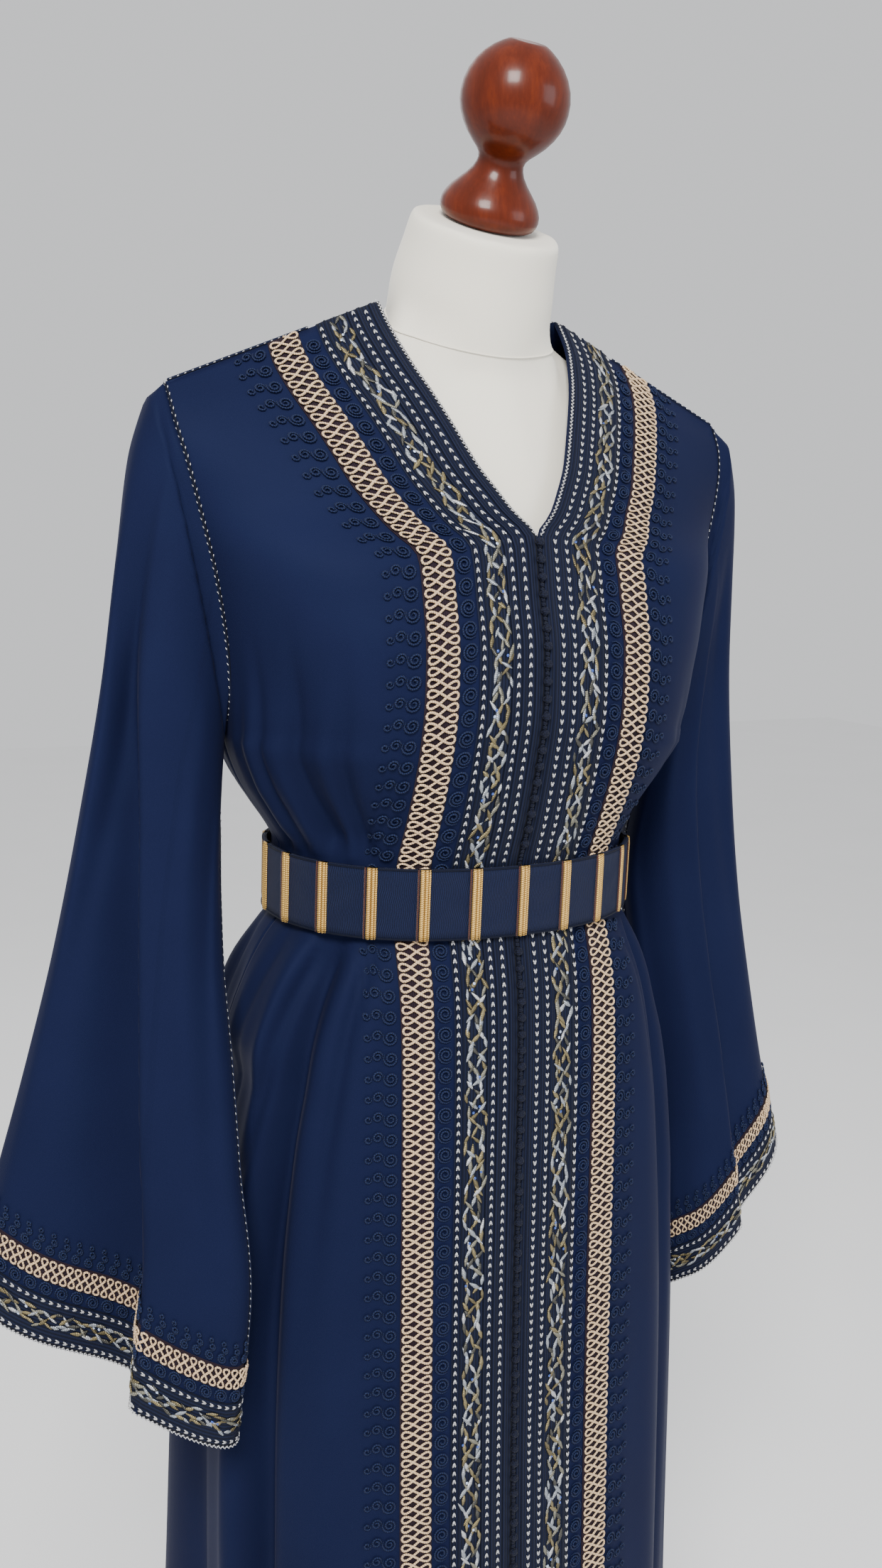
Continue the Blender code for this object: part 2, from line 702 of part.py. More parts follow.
def sleeves(armholes):
    cuff_lines = [0.0, CUFF_BAND[0], CUFF_BAND[1], CUFF_BRAID[0], CUFF_BRAID[1], CUFF_END]
    for name, side in (("right", -1), ("left", 1)):
        lines = sleeve_lines(side, armholes[side])
        grid = [[on_line(marks, d) for marks in lines] for d in cuff_lines]
        for k in range(1, SLEEVE_ROWS + 1):
            share = k / SLEEVE_ROWS
            share = 1.0 - (1.0 - share) ** 1.25
            grid.append([on_line(marks, mix(CUFF_END, marks[-1][0], share)) for marks in lines])
        ways = normals(grid, True)
        for line in ways:
            for n in line:
                n *= side
        for column, way in enumerate(ways[-1]):
            ways[-1][column] = in_plane(way, x=0)
        wall(f"sleeve_{name}", grid, moved(grid, ways, -CLOTH), "navy_cloth", closed=True)
        for piece, rows, thick, look in (
            ("cuff_band", (1, 2), TRIM_THICK, "navy_braid"),
            ("cuff_braid", (3, 4), BRAID_THICK, "cream_braid"),
        ):
            lines = [grid[r] for r in rows]
            out = [ways[r] for r in rows]
            high, low = on_grid(lines, out, range(SLEEVE_COLUMNS), SEAM_GAP, thick)
            wall(f"{piece}_{name}", high, low, look, closed=True)


def belt_outline(grow, count):
    """Points round the waist, a distance grow outside the cloth, evenly spaced by length."""
    middle_z = (BELT_LOW + BELT_TOP) / 2
    half_width = read(SIDES, middle_z, 1) + grow
    front, back = read(DEPTHS, middle_z, 1) + grow, read(DEPTHS, middle_z, 2) + grow
    bend = 2.2
    fine = 1440
    round_it = []
    for k in range(fine + 1):
        turn = 2 * math.pi * k / fine
        across, along = math.sin(turn), math.cos(turn)
        x = half_width * math.copysign(abs(across) ** (2 / bend), across)
        y = -(front if along > 0 else back) * math.copysign(abs(along) ** (2 / bend), along)
        round_it.append(Vector((x, y, 0.0)))
    marks = [(0.0, round_it[0])]
    for a, b in zip(round_it, round_it[1:]):
        marks.append((marks[-1][0] + (b - a).length, b))
    return marks, [on_line(marks, marks[-1][0] * k / count) for k in range(count)]


def belt():
    _, outside = belt_outline(BELT_STANDOFF + BELT_THICK, BELT_SIDES)
    _, inside = belt_outline(BELT_STANDOFF, BELT_SIDES)
    outer = [[Vector((p.x, p.y, z)) for p in outside] for z in (BELT_LOW, BELT_TOP)]
    inner = [[Vector((p.x, p.y, z)) for p in inside] for z in (BELT_LOW, BELT_TOP)]
    wall("belt", outer, inner, "navy_braid", closed=True)
    belt_bars()


def belt_bars():
    """Upright gold cord bars sewn on the belt, evenly spaced all round."""
    marks, _ = belt_outline(BELT_STANDOFF + BELT_THICK + SEAM_GAP, BELT_SIDES)
    around = marks[-1][0]
    section = ((-0.5, 0.0), (-0.36, 0.85), (0.0, 1.0), (0.36, 0.85), (0.5, 0.0))
    for bar in range(BAR_COUNT):
        arc = (FIRST_BAR_ARC + bar * around / BAR_COUNT) % around
        foot = on_line(marks, arc)
        after, before = (on_line(marks, (arc + step) % around) for step in (0.2, -0.2))
        along = (after - before).normalized()
        out = Vector((along.y, -along.x, 0.0))
        if out.dot(foot) < 0.0:
            out.negate()
        outline = [foot + along * (BAR_WIDTH * a) + out * (BAR_RISE * b) for a, b in section]
        count = len(outline)
        points = [Vector((p.x, p.y, z)) for z in (BELT_LOW, BELT_TOP) for p in outline]
        faces = [tuple(range(count)), tuple(range(2 * count - 1, count - 1, -1))]
        faces += [(k, (k + 1) % count, count + (k + 1) % count, count + k) for k in range(count)]
        make_object(f"belt_bar_{bar + 1:02d}", points, faces, "belt_gold")


def front_edge_at(z):
    """Depth of the front edge between two rows, and how much it leans there."""
    below = max(row for row in range(V_ROW + 1) if ROWS[row][0] <= z or row == 0)
    low, high = ROWS[below][0], ROWS[below + 1][0]
    near, far = read(DEPTHS, low, 1), read(DEPTHS, high, 1)
    return mix(near, far, (z - low) / (high - low)), (far - near) / (high - low)


def buttons():
    """Thread knots down the centre front, on the edges of both trimmings."""
    for k in range(BUTTON_COUNT):
        z = mix(BUTTON_TOP_Z, BUTTON_LOW_Z, k / (BUTTON_COUNT - 1))
        depth, lean = front_edge_at(z)
        y = -depth - (2 * SEAM_GAP + TRIM_THICK) * math.hypot(1.0, lean)
        y -= math.hypot(BUTTON_DEEP * math.cos(math.pi / 6), BUTTON_WIDE * lean)
        bm = bmesh.new()
        bmesh.ops.create_uvsphere(bm, u_segments=6, v_segments=4, radius=1.0)
        for v in bm.verts:
            wide, high = v.co.x * BUTTON_WIDE, v.co.z * BUTTON_WIDE
            v.co = Vector((wide, v.co.y * BUTTON_DEEP + y, high + z)) * CM
        mesh = bpy.data.meshes.new(f"button_{k + 1:02d}")
        bm.to_mesh(mesh)
        bm.free()
        mesh.shade_smooth()
        mesh.materials.append(material("knot_thread"))
        made = bpy.data.objects.new(f"button_{k + 1:02d}", mesh)
        bpy.context.collection.objects.link(made)


# Dress form: rows from the hips to the shoulders, columns from the middle out
FORM_ROWS = (84.0, 88.0, 93.0, 98.0, 104.0, 109.0, 114.0, 119.0, 124.0, 129.0, 133.5, 138.0, 141.0)
FORM_NECK_COLUMNS, FORM_COLUMNS = 5, 9
FORM_SIDE_INSET = 1.3
FORM_NECK_LOW_Z = 142.3


def cloth_depth(x, z, back):
    """How far the cloth lies in front of or behind the middle plane, at x and z."""
    side_z = min(z, SHOULDER_TIP_Z)
    half_width = read(SIDES, side_z, 1)
    edge = abs(read(SIDES, side_z, 3 if back else 2))
    lifted = z if back else z + SHOULDER_SLOPE * x * smooth(126.0, 132.0, z)
    middle = read(DEPTHS, lifted, 2 if back else 1)
    depth = mix(middle, edge, fall(min(x / half_width, 1.0), z))
    if back and z > BACK_CLIMB_Z:
        climb = min((z - BACK_CLIMB_Z) / (ridge_z_at(x) + CLOTH - BACK_CLIMB_Z), 1.0)
        top = SHOULDER_Y
        if x < NECK_POINT_X:
            top = mix(SHOULDER_Y, BACK_NECK_Y, math.sqrt(1.0 - (x / NECK_POINT_X) ** 2))
        depth = mix(depth, top, climb**BACK_CLIMB_BEND)
    return depth


def form_point(row, column, back):
    """Point of the torso's front or back half, column 0 at the middle."""
    even = math.sin(math.pi / 2 * column / FORM_COLUMNS)
    if column <= FORM_NECK_COLUMNS:
        top_x = NECK_BASE_X * math.sin(math.pi / 2 * column / FORM_NECK_COLUMNS)
    else:
        part = (column - FORM_NECK_COLUMNS) / (FORM_COLUMNS - FORM_NECK_COLUMNS)
        top_x = mix(NECK_BASE_X, FORM_RIDGE_END_X, part)
    neck_z = ridge_z_at(NECK_BASE_X)
    if row == len(FORM_ROWS):
        if column >= FORM_NECK_COLUMNS:
            return Vector((top_x, SHOULDER_Y, ridge_z_at(top_x)))
        bow = math.sqrt(1.0 - (top_x / NECK_BASE_X) ** 2)
        if back:
            return Vector((top_x, SHOULDER_Y + 6.6 * bow, neck_z))
        z = mix(FORM_NECK_LOW_Z, neck_z, (top_x / NECK_BASE_X) ** 2)
        return Vector((top_x, SHOULDER_Y - 5.0 * bow, z))
    row_z = FORM_ROWS[row]
    climbed = smooth(114.0, 141.0, row_z)
    half_width = min(read(SIDES, row_z, 1), 17.9) - FORM_SIDE_INSET
    x = mix(even * half_width, top_x, climbed)
    z = row_z - climbed * SHOULDER_SLOPE * max(x - NECK_BASE_X, 0.0)
    below = max(ridge_z_at(x) - z, 0.0)
    inset = mix(0.9, FORM_INSET + (1.0 if back else 0.5), smooth(1.0, 4.0, below))
    edge_share = min(x / mix(half_width, FORM_RIDGE_END_X, climbed), 1.0)
    depth = cloth_depth(x, z, back) - inset
    side = mix(0.0, 1.4, smooth(118.0, 126.0, row_z))
    depth = mix(depth, side, 1.0 - (1.0 - edge_share**5) ** (1 / 2.2))
    depth = max(depth, side)
    return Vector((x, depth if back else -depth, z))


def ridge_z_at(x):
    """Top of the form's shoulder, which carries the cloth along its middle stretch."""
    clear = 0.7 * smooth(12.6, 9.6, x) + 0.3 * smooth(16.3, FORM_RIDGE_END_X, x)
    return NECK_POINT_Z - SHOULDER_SLOPE * (x - NECK_POINT_X) - CLOTH - RIDGE_GAP - clear


def form_body():
    """Torso and neck in one closed skin, leaning forward at the neck."""
    bm = bmesh.new()

    def ring(row):
        front = [form_point(row, c, False) for c in range(FORM_COLUMNS + 1)]
        back = [form_point(row, c, True) for c in range(FORM_COLUMNS + 1)]
        line = front + back[::-1][0 if front[-1] != back[-1] else 1:]
        left = [Vector((-p.x, p.y, p.z)) for p in line[::-1]][1:-1]
        return line + left

    rings = [ring(row) for row in range(len(FORM_ROWS))]
    count = len(rings[0])
    verts = [[bm.verts.new(p * CM) for p in line] for line in rings]
    bm.faces.new(verts[0][::-1])
    for low, high in zip(verts, verts[1:]):
        for k in range(count):
            m = (k + 1) % count
            bm.faces.new((low[k], low[m], high[m], high[k]))
    top = ring(len(FORM_ROWS))
    top_verts = [bm.verts.new(p * CM) for p in top]
    for k in range(count):
        m = (k + 1) % count
        bm.faces.new((verts[-1][k], verts[-1][m], top_verts[m], top_verts[k]))
    neck = [v for v, p in zip(top_verts, top) if abs(p.x) < NECK_BASE_X + 0.01]
    axis = Vector((0.0, -math.sin(NECK_LEAN), math.cos(NECK_LEAN)))
    across = Vector((1.0, 0.0, 0.0))
    back = axis.cross(across)
    centre = Vector(NECK_TOP)
    turns = [(math.atan2(v.co.x, NECK_FOOT_Y * CM - v.co.y), v) for v in neck]
    turns.sort(key=lambda pair: pair[0])
    last = [v for _, v in turns]
    for drop, radius in NECK_RINGS:
        line = []
        for turn, _ in turns:
            away = across * math.sin(turn) - back * math.cos(turn)
            line.append(bm.verts.new((centre - axis * drop + away * radius) * CM))
        for k in range(len(line)):
            m = (k + 1) % len(line)
            bm.faces.new((last[k], last[m], line[m], line[k]))
        last = line
    bm.faces.new(last)
    bmesh.ops.remove_doubles(bm, verts=bm.verts, dist=1e-6)
    bmesh.ops.dissolve_degenerate(bm, dist=1e-6, edges=bm.edges)
    bmesh.ops.triangulate(bm, faces=bm.faces)
    bmesh.ops.recalc_face_normals(bm, faces=bm.faces)
    mesh = bpy.data.meshes.new("form_body")
    bm.to_mesh(mesh)
    bm.free()
    mesh.shade_smooth()
    mesh.set_sharp_from_angle(angle=math.radians(50.0))
    mesh.materials.append(material("form_cover"))
    made = bpy.data.objects.new("form_body", mesh)
    bpy.context.collection.objects.link(made)


def turned(name, profile, sides, look, place=(0.0, 0.0, 0.0), lean=0.0):
    """A closed round solid from (height, radius) pairs, leaning forward about X."""
    axis = Vector((0.0, -math.sin(lean), math.cos(lean)))
    across = Vector((1.0, 0.0, 0.0))
    back = axis.cross(across)
    points, faces = [], []
    for height, radius in profile:
        for k in range(sides):
            turn = 2 * math.pi * k / sides
            away = across * math.cos(turn) + back * math.sin(turn)
            points.append(Vector(place) + axis * height + away * radius)
    for i in range(len(profile) - 1):
        for k in range(sides):
            m = (k + 1) % sides
            faces.append((i * sides + k, i * sides + m, (i + 1) * sides + m, (i + 1) * sides + k))
    top = (len(profile) - 1) * sides
    faces.append(tuple(range(sides))[::-1])
    faces.append(tuple(range(top, top + sides)))
    return make_object(name, points, faces, look)


def stand():
    lift = Vector((0.0, -math.sin(NECK_LEAN), math.cos(NECK_LEAN))) * SEAM_GAP
    turned("neck_knob", KNOB, KNOB_SIDES, "turned_wood", Vector(NECK_TOP) + lift, NECK_LEAN)
    turned("stand_base", BASE, BASE_SIDES, "stand_metal")
    pole = ((BASE[-1][0] + SEAM_GAP, POLE_RADIUS), (FORM_LOW_Z - SEAM_GAP, POLE_RADIUS))
    turned("stand_pole", pole, POLE_SIDES, "stand_metal")


def main():
    clear_scene()
    sleeves(body_panels())
    belt()
    buttons()
    form_body()
    stand()


main()
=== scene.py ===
# Kaftan on a dress form: cloth, trimmings, belt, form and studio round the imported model.
# Lengths are in centimetres, measured on the body: z up, x to the wearer's left, front at -y.

import json
import math

import bpy
import numpy as np
from mathutils import Matrix, Vector

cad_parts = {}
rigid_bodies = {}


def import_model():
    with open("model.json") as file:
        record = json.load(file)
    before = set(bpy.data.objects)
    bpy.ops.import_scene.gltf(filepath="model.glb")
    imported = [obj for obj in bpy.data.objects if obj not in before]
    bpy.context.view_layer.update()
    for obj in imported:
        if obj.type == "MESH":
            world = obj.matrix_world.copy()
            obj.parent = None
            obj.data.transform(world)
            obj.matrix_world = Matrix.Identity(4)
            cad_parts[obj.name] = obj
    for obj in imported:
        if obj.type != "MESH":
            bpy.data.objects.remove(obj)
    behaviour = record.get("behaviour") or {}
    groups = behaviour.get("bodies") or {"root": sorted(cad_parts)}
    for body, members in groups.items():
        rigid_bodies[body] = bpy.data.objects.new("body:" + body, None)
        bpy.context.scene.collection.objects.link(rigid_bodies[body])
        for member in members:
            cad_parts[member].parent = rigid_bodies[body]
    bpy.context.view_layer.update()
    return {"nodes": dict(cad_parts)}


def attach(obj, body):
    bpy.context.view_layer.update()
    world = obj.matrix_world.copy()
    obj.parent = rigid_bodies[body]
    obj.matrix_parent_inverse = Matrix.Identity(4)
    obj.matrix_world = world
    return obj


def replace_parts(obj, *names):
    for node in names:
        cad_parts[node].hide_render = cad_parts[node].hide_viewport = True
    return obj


for thing in list(bpy.data.objects):
    bpy.data.objects.remove(thing, do_unlink=True)
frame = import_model()
bpy.ops.object.select_all(action="DESELECT")
dice = np.random.default_rng(11)
cm, weld = 0.01, 0.00002  # in metres

print("stage: pattern")
body = {
    "depths": (  # z, front, back
        (2.0, 17.3, 17.0), (20.0, 16.6, 16.4), (41.0, 15.7, 15.6), (54.0, 14.8, 15.1), (62.0, 14.2, 14.8),
        (75.0, 13.4, 14.2), (85.0, 12.9, 13.5), (92.0, 12.5, 12.8), (97.0, 12.0, 12.0), (100.2, 11.3, 10.7),
        (101.4, 11.0, 10.1), (106.6, 10.95, 10.1), (107.8, 11.3, 10.6), (110.0, 12.0, 11.0),
        (114.0, 12.9, 11.2), (118.0, 13.5, 11.3), (122.0, 13.3, 11.3), (126.0, 12.3, 11.2),
        (129.9, 11.4, 10.9), (133.0, 10.3, 10.6), (135.2, 9.3, 10.2), (138.9, 7.5, 9.6),
        (142.5, 5.5, 8.7), (144.0, 4.5, 8.3), (146.8, 2.5, 7.6), (147.6, 1.8, 7.6), (149.2, 0.3, 7.6)),
    "sides": (  # z, half width, y of the front's edge, y of the back's edge
        (2.0, 24.0, 0.0, 0.0), (20.0, 23.2, 0.0, 0.0), (41.0, 22.4, 0.0, 0.0), (62.0, 22.0, 0.0, 0.0),
        (75.0, 21.3, 0.0, 0.0), (85.0, 20.2, 0.0, 0.0), (90.0, 19.2, 0.0, 0.0), (94.0, 18.2, 0.0, 0.0),
        (97.0, 17.0, 0.0, 0.0), (100.2, 15.0, 0.0, 0.0), (101.4, 14.1, 0.0, 0.0), (106.6, 14.1, 0.0, 0.0),
        (108.0, 14.8, 0.0, 0.0), (110.0, 16.2, 0.0, 0.0), (112.0, 17.5, 0.0, 0.0), (115.0, 18.6, 0.0, 0.0),
        (117.0, 18.8, -1.6, 1.9), (119.0, 19.0, -2.4, 3.0), (122.5, 19.5, -3.0, 4.0),
        (127.0, 20.4, -3.2, 4.2), (131.0, 21.4, -3.0, 3.9), (134.3, 22.2, -2.6, 3.0),
        (137.0, 22.8, -1.7, 1.6), (139.3, 23.0, -0.3, -0.3)),
    "neckline": (  # z, half width
        (129.9, 0.0), (131.6, 1.5), (133.1, 2.5), (134.7, 3.5), (137.0, 4.5), (139.3, 5.5),
        (141.6, 6.5), (144.5, 7.3), (146.0, 7.4)),
    "rows": (  # height at the front edge, height at the side
        (2.0, 2.0), (15.0, 15.0), (28.0, 28.0), (41.0, 41.0), (53.0, 53.0), (63.0, 63.0), (72.0, 72.0),
        (80.0, 80.0), (86.5, 86.5), (92.0, 92.0), (96.0, 96.0), (99.3, 99.3), (101.2, 101.2),
        (106.8, 106.8), (108.3, 108.2), (110.6, 109.8), (113.4, 112.0), (116.8, 115.0), (120.2, 117.4),
        (123.6, 120.4), (127.0, 123.5), (129.9, 126.4), (132.4, 129.0), (135.2, 131.6), (138.2, 134.2),
        (141.2, 136.6), (144.0, 138.3), (146.0, 139.3)),
    "folds": (  # angle low, angle high, half width, z low, z high, depth low, depth high
        (-39, -39, 6.0, 2.0, 99.0, 0.9, 0.3), (-53.5, -53.5, 6.5, 2.0, 101.0, -3.2, -1.7),
        (-66, -66, 5.0, 2.0, 101.0, 0.8, 0.6), (-84, -84, 26.0, 2.0, 92.0, -3.6, -1.6),
        (-98, -98, 8.0, 2.0, 99.0, -2.0, -0.6), (-118, -118, 8.0, 2.0, 99.0, 1.0, 0.3),
        (-138, -138, 7.0, 2.0, 99.0, -1.8, -0.7), (-158, -158, 8.0, 2.0, 99.0, 0.9, 0.3),
        (180, 180, 8.0, 2.0, 99.0, -1.4, -0.6), (158, 158, 8.0, 2.0, 99.0, 0.9, 0.3),
        (136, 136, 7.0, 2.0, 99.0, -1.8, -0.7), (116, 116, 8.0, 2.0, 99.0, 1.0, 0.3),
        (94, 94, 8.0, 2.0, 99.0, -1.7, -0.5), (76, 76, 12.0, 2.0, 92.0, 1.6, 0.4),
        (56, 56, 6.0, 2.0, 100.0, -2.0, -0.8), (42, 42, 6.0, 2.0, 99.0, 0.5, 0.2),
        (-55, -55, 7.0, 107.5, 121.0, -1.3, -0.2), (-72, -72, 8.0, 107.5, 119.0, 0.7, 0.1),
        (56, 56, 7.0, 107.5, 119.0, -0.9, -0.1), (74, 74, 8.0, 107.5, 119.0, 0.6, 0.1),
        (-130, -130, 9.0, 107.5, 125.0, -1.0, -0.2), (132, 132, 9.0, 107.5, 125.0, -1.0, -0.2)),
    "creases": (  # the finer ones, same columns
        (-46, -42, 2.4, 107.0, 123.0, -0.8, -0.5), (-51, -48, 2.0, 107.0, 121.0, 0.45, 0.1),
        (-58, -54, 2.2, 107.0, 124.0, -0.3, -0.6), (-64, -60, 1.9, 107.0, 120.0, 0.4, 0.1),
        (-70, -66, 2.3, 107.0, 123.0, -0.7, -0.5), (-80, -74, 2.6, 107.0, 122.0, -0.8, -0.1),
        (-88, -92, 3.0, 107.0, 116.0, 0.25, 0.0), (50, 44, 2.6, 107.0, 121.0, -0.8, -0.05),
        (63, 52, 2.2, 107.0, 119.0, 0.25, 0.0), (70, 64, 2.3, 107.0, 118.0, -0.35, 0.0),
        (84, 78, 2.6, 107.0, 117.0, -0.6, 0.0), (-105, -100, 3.0, 107.0, 120.0, -0.7, 0.0),
        (-118, -112, 2.6, 107.0, 122.0, 0.25, 0.0), (-150, -140, 3.0, 107.0, 124.0, -0.7, -0.1),
        (-165, -162, 2.6, 107.0, 118.0, 0.2, 0.0), (172, 168, 3.0, 107.0, 121.0, -0.7, -0.1),
        (150, 146, 2.6, 107.0, 120.0, 0.25, 0.0), (118, 112, 2.8, 107.0, 122.0, -0.7, -0.1),
        (101, 98, 2.6, 107.0, 118.0, 0.2, 0.0), (-58, -50, 2.0, 60.0, 101.0, -0.1, -0.5),
        (-44, -42, 2.2, 70.0, 101.0, -0.1, -0.7), (-74, -60, 2.4, 66.0, 101.0, -0.2, -0.9),
        (-92, -76, 3.0, 70.0, 101.0, -0.1, -0.4), (-70, -66, 2.0, 40.0, 96.0, 0.2, 0.25),
        (49, 46, 2.0, 66.0, 101.0, -0.05, -0.35), (63, 58, 2.4, 52.0, 101.0, -0.15, -0.45),
        (86, 70, 3.0, 62.0, 101.0, -0.15, -0.4), (104, 96, 2.6, 74.0, 101.0, 0.1, -0.3),
        (126, 120, 3.0, 70.0, 101.0, -0.15, -0.4), (146, 148, 2.6, 78.0, 101.0, 0.1, -0.3),
        (170, 166, 3.0, 72.0, 101.0, -0.15, -0.35), (-172, -170, 2.6, 80.0, 101.0, 0.1, -0.3),
        (-148, -146, 3.0, 66.0, 101.0, -0.15, -0.4), (-126, -128, 2.6, 78.0, 101.0, 0.1, -0.35),
        (-108, -106, 3.0, 64.0, 101.0, -0.15, -0.4), (-44, -46, 3.0, 2.0, 62.0, -0.25, 0.1),
        (66, 68, 4.0, 2.0, 76.0, -0.35, -0.1)),
    "foldFade": 3.0, "crispFold": -53.5, "crispWidth": 2.4, "underarmRow": 17, "vRow": 21, "vZ": 129.9,
    "neckX": 7.4, "neckZ": 146.0, "backNeckZ": 146.8, "backNeckY": 7.6, "shoulderY": -0.3,
    "slope": (146.0 - 139.3) / (23.0 - 7.4), "climbZ": 127.0, "climbBend": 2.2, "rowStep": 0.8, "sewnGap": 0.015,
}
hands = ((-1, "right"), (1, "left"))  # the wearer's, with the sign of x there


def curve(table, column):
    # A smooth line through one column of a table, with no overshoot
    at = np.array([line[0] for line in table], float)
    value = np.array([line[column] for line in table], float)
    step = np.diff(at)
    rise = np.diff(value) / step
    lean = np.zeros(len(at))
    both = rise[:-1] * rise[1:]
    lean[1:-1] = np.where(both > 0, 2 * both / np.where(both > 0, rise[:-1] + rise[1:], 1.0), 0.0)
    lean[-1] = rise[-1]

    def readAt(where):
        where = np.clip(where, at[0], at[-1])
        i = np.clip(np.searchsorted(at, where) - 1, 0, len(at) - 2)
        f = (where - at[i]) / step[i]
        g = 1.0 - f
        return ((1 + 2 * f) * g * g * value[i] + f * g * g * lean[i] * step[i]
                + f * f * (3 - 2 * f) * value[i + 1] - f * f * g * lean[i + 1] * step[i])
    return readAt


def smooth(low, high, at):
    f = np.clip((at - low) / (high - low), 0.0, 1.0)
    return f * f * (3.0 - 2.0 * f)


def mix(a, b, f):
    return a + (b - a) * f


def unit(vectors):
    return vectors / np.maximum(np.linalg.norm(vectors, axis=-1, keepdims=True), 1e-12)


def together(*parts):
    # coordinates side by side in a last axis, each stretched to the shape of all
    return np.stack(np.broadcast_arrays(*parts), -1)


depthFront, depthBack = curve(body["depths"], 1), curve(body["depths"], 2)
halfWidth, edgeFront, edgeBack = (curve(body["sides"], column) for column in (1, 2, 3))
neckHalf = curve(body["neckline"], 1)
rowFront = np.array([row[0] for row in body["rows"]])
rowSide = np.array([row[1] for row in body["rows"]])


def heights(row):
    whole = np.arange(len(rowFront))
    return np.interp(row, whole, rowFront), np.interp(row, whole, rowSide)


def fall(share, z):
    # how far front or back has turned from its middle, 0, to its outer edge, 1
    bend = mix(2.2, 3.2, smooth(108.0, 122.0, z))
    reach = mix(1.0, 1.04, smooth(115.0, 121.0, z))
    deep = (1.0 - np.minimum(share / reach, 1.0) ** bend) ** (1.0 / bend)
    edge = (1.0 - (1.0 / reach) ** bend) ** (1.0 / bend)
    return (1.0 - deep) / (1.0 - edge)


def foldPush(x, y, z, half, depth):
    turn = np.degrees(np.arctan2(x / half, -y / depth))
    push = np.zeros_like(turn)
    for fine, table in ((0, body["folds"]), (1, body["creases"])):
        for low, high, width, zLow, zHigh, deepLow, deepHigh in table:
            share = np.clip((z - zLow) / (zHigh - zLow), 0.0, 1.0)
            away = (turn - mix(low, high, share) + 180.0) % 360.0 - 180.0
            fade = smooth(zHigh + 1.5, zHigh - (12.0 if fine and zHigh > 107 else body["foldFade"]), z)
            if zLow > 2.0:
                fade = fade * smooth(zLow - 0.8, zLow + (20.0 if fine and zLow < 100 else 1.5), z)
            wide = np.where(away > 0, body["crispWidth"], width) if low == body["crispFold"] else width
            push += mix(deepLow, deepHigh, share) * fade * np.exp(-((away / wide) ** 2))
    return push


def pushed(x, y, z, half, depth):
    push = foldPush(x, y, z, half, depth)
    out = unit(together(x / half**2, y / depth**2))
    return together(x + out[..., 0] * push, y + out[..., 1] * push, z)


def frontPoint(row, x, side):
    zFront, zSide = heights(row)
    inner = np.where(zFront > body["vZ"], neckHalf(zFront), 0.0)
    outer = halfWidth(zSide)
    z = mix(zFront, zSide, (x - inner) / (outer - inner))
    middle = -depthFront(z + body["slope"] * x * smooth(126.0, 132.0, z))
    y = mix(middle, edgeFront(zSide), fall(np.minimum(x / outer, 1.0), z))
    return pushed(side * x, y, z, outer, depthFront(np.minimum(z, 146.0)))


def backPoint(row, x, side):
    zFront, zSide = heights(row)
    neckX, neckZ = body["neckX"], body["neckZ"]
    zMiddle = zFront + (body["backNeckZ"] - neckZ) * smooth(body["vZ"], neckZ, zFront)
    outer = halfWidth(zSide)
    near = mix(zMiddle, zFront, np.minimum(x / neckX, 1.0))
    far = mix(zFront, zSide, (x - neckX) / (outer - neckX))
    z = mix(mix(zFront, zSide, x / outer), np.where(x < neckX, near, far), smooth(112.0, 122.0, zFront))
    middle = depthBack(zMiddle)
    y = mix(middle, edgeBack(zSide), fall(np.minimum(x / outer, 1.0), z))
    bow = np.sqrt(np.clip(1.0 - (x / neckX) ** 2, 0.0, 1.0))
    topY = mix(body["shoulderY"], body["backNeckY"], bow)
    ridge = np.where(x < neckX, mix(body["backNeckZ"], neckZ, x / neckX), neckZ - body["slope"] * (x - neckX))
    climb = np.clip((z - body["climbZ"]) / (ridge - body["climbZ"]), 0.0, 1.0)
    y = np.where(z > body["climbZ"], mix(y, topY, climb ** body["climbBend"]), y)
    return pushed(side * x, y, z, outer, np.maximum(middle, 1.0))


def lengths(points):
    # running length along the first axis of a grid of points
    step = np.linalg.norm(np.diff(points, axis=0), axis=-1)
    return np.concatenate([np.zeros((1,) + step.shape[1:]), np.cumsum(step, axis=0)])


def readLine(where, arc, points):
    # points of a line, read at the given running lengths
    return np.stack([np.interp(where, arc, column) for column in points.T], -1)


def spreadOut(spread, last, tail):
    # the given distances, then evenly spaced ones up to the last
    return np.concatenate([spread, np.linspace(spread[-1], last, tail + 1)[1:]]) if tail else spread


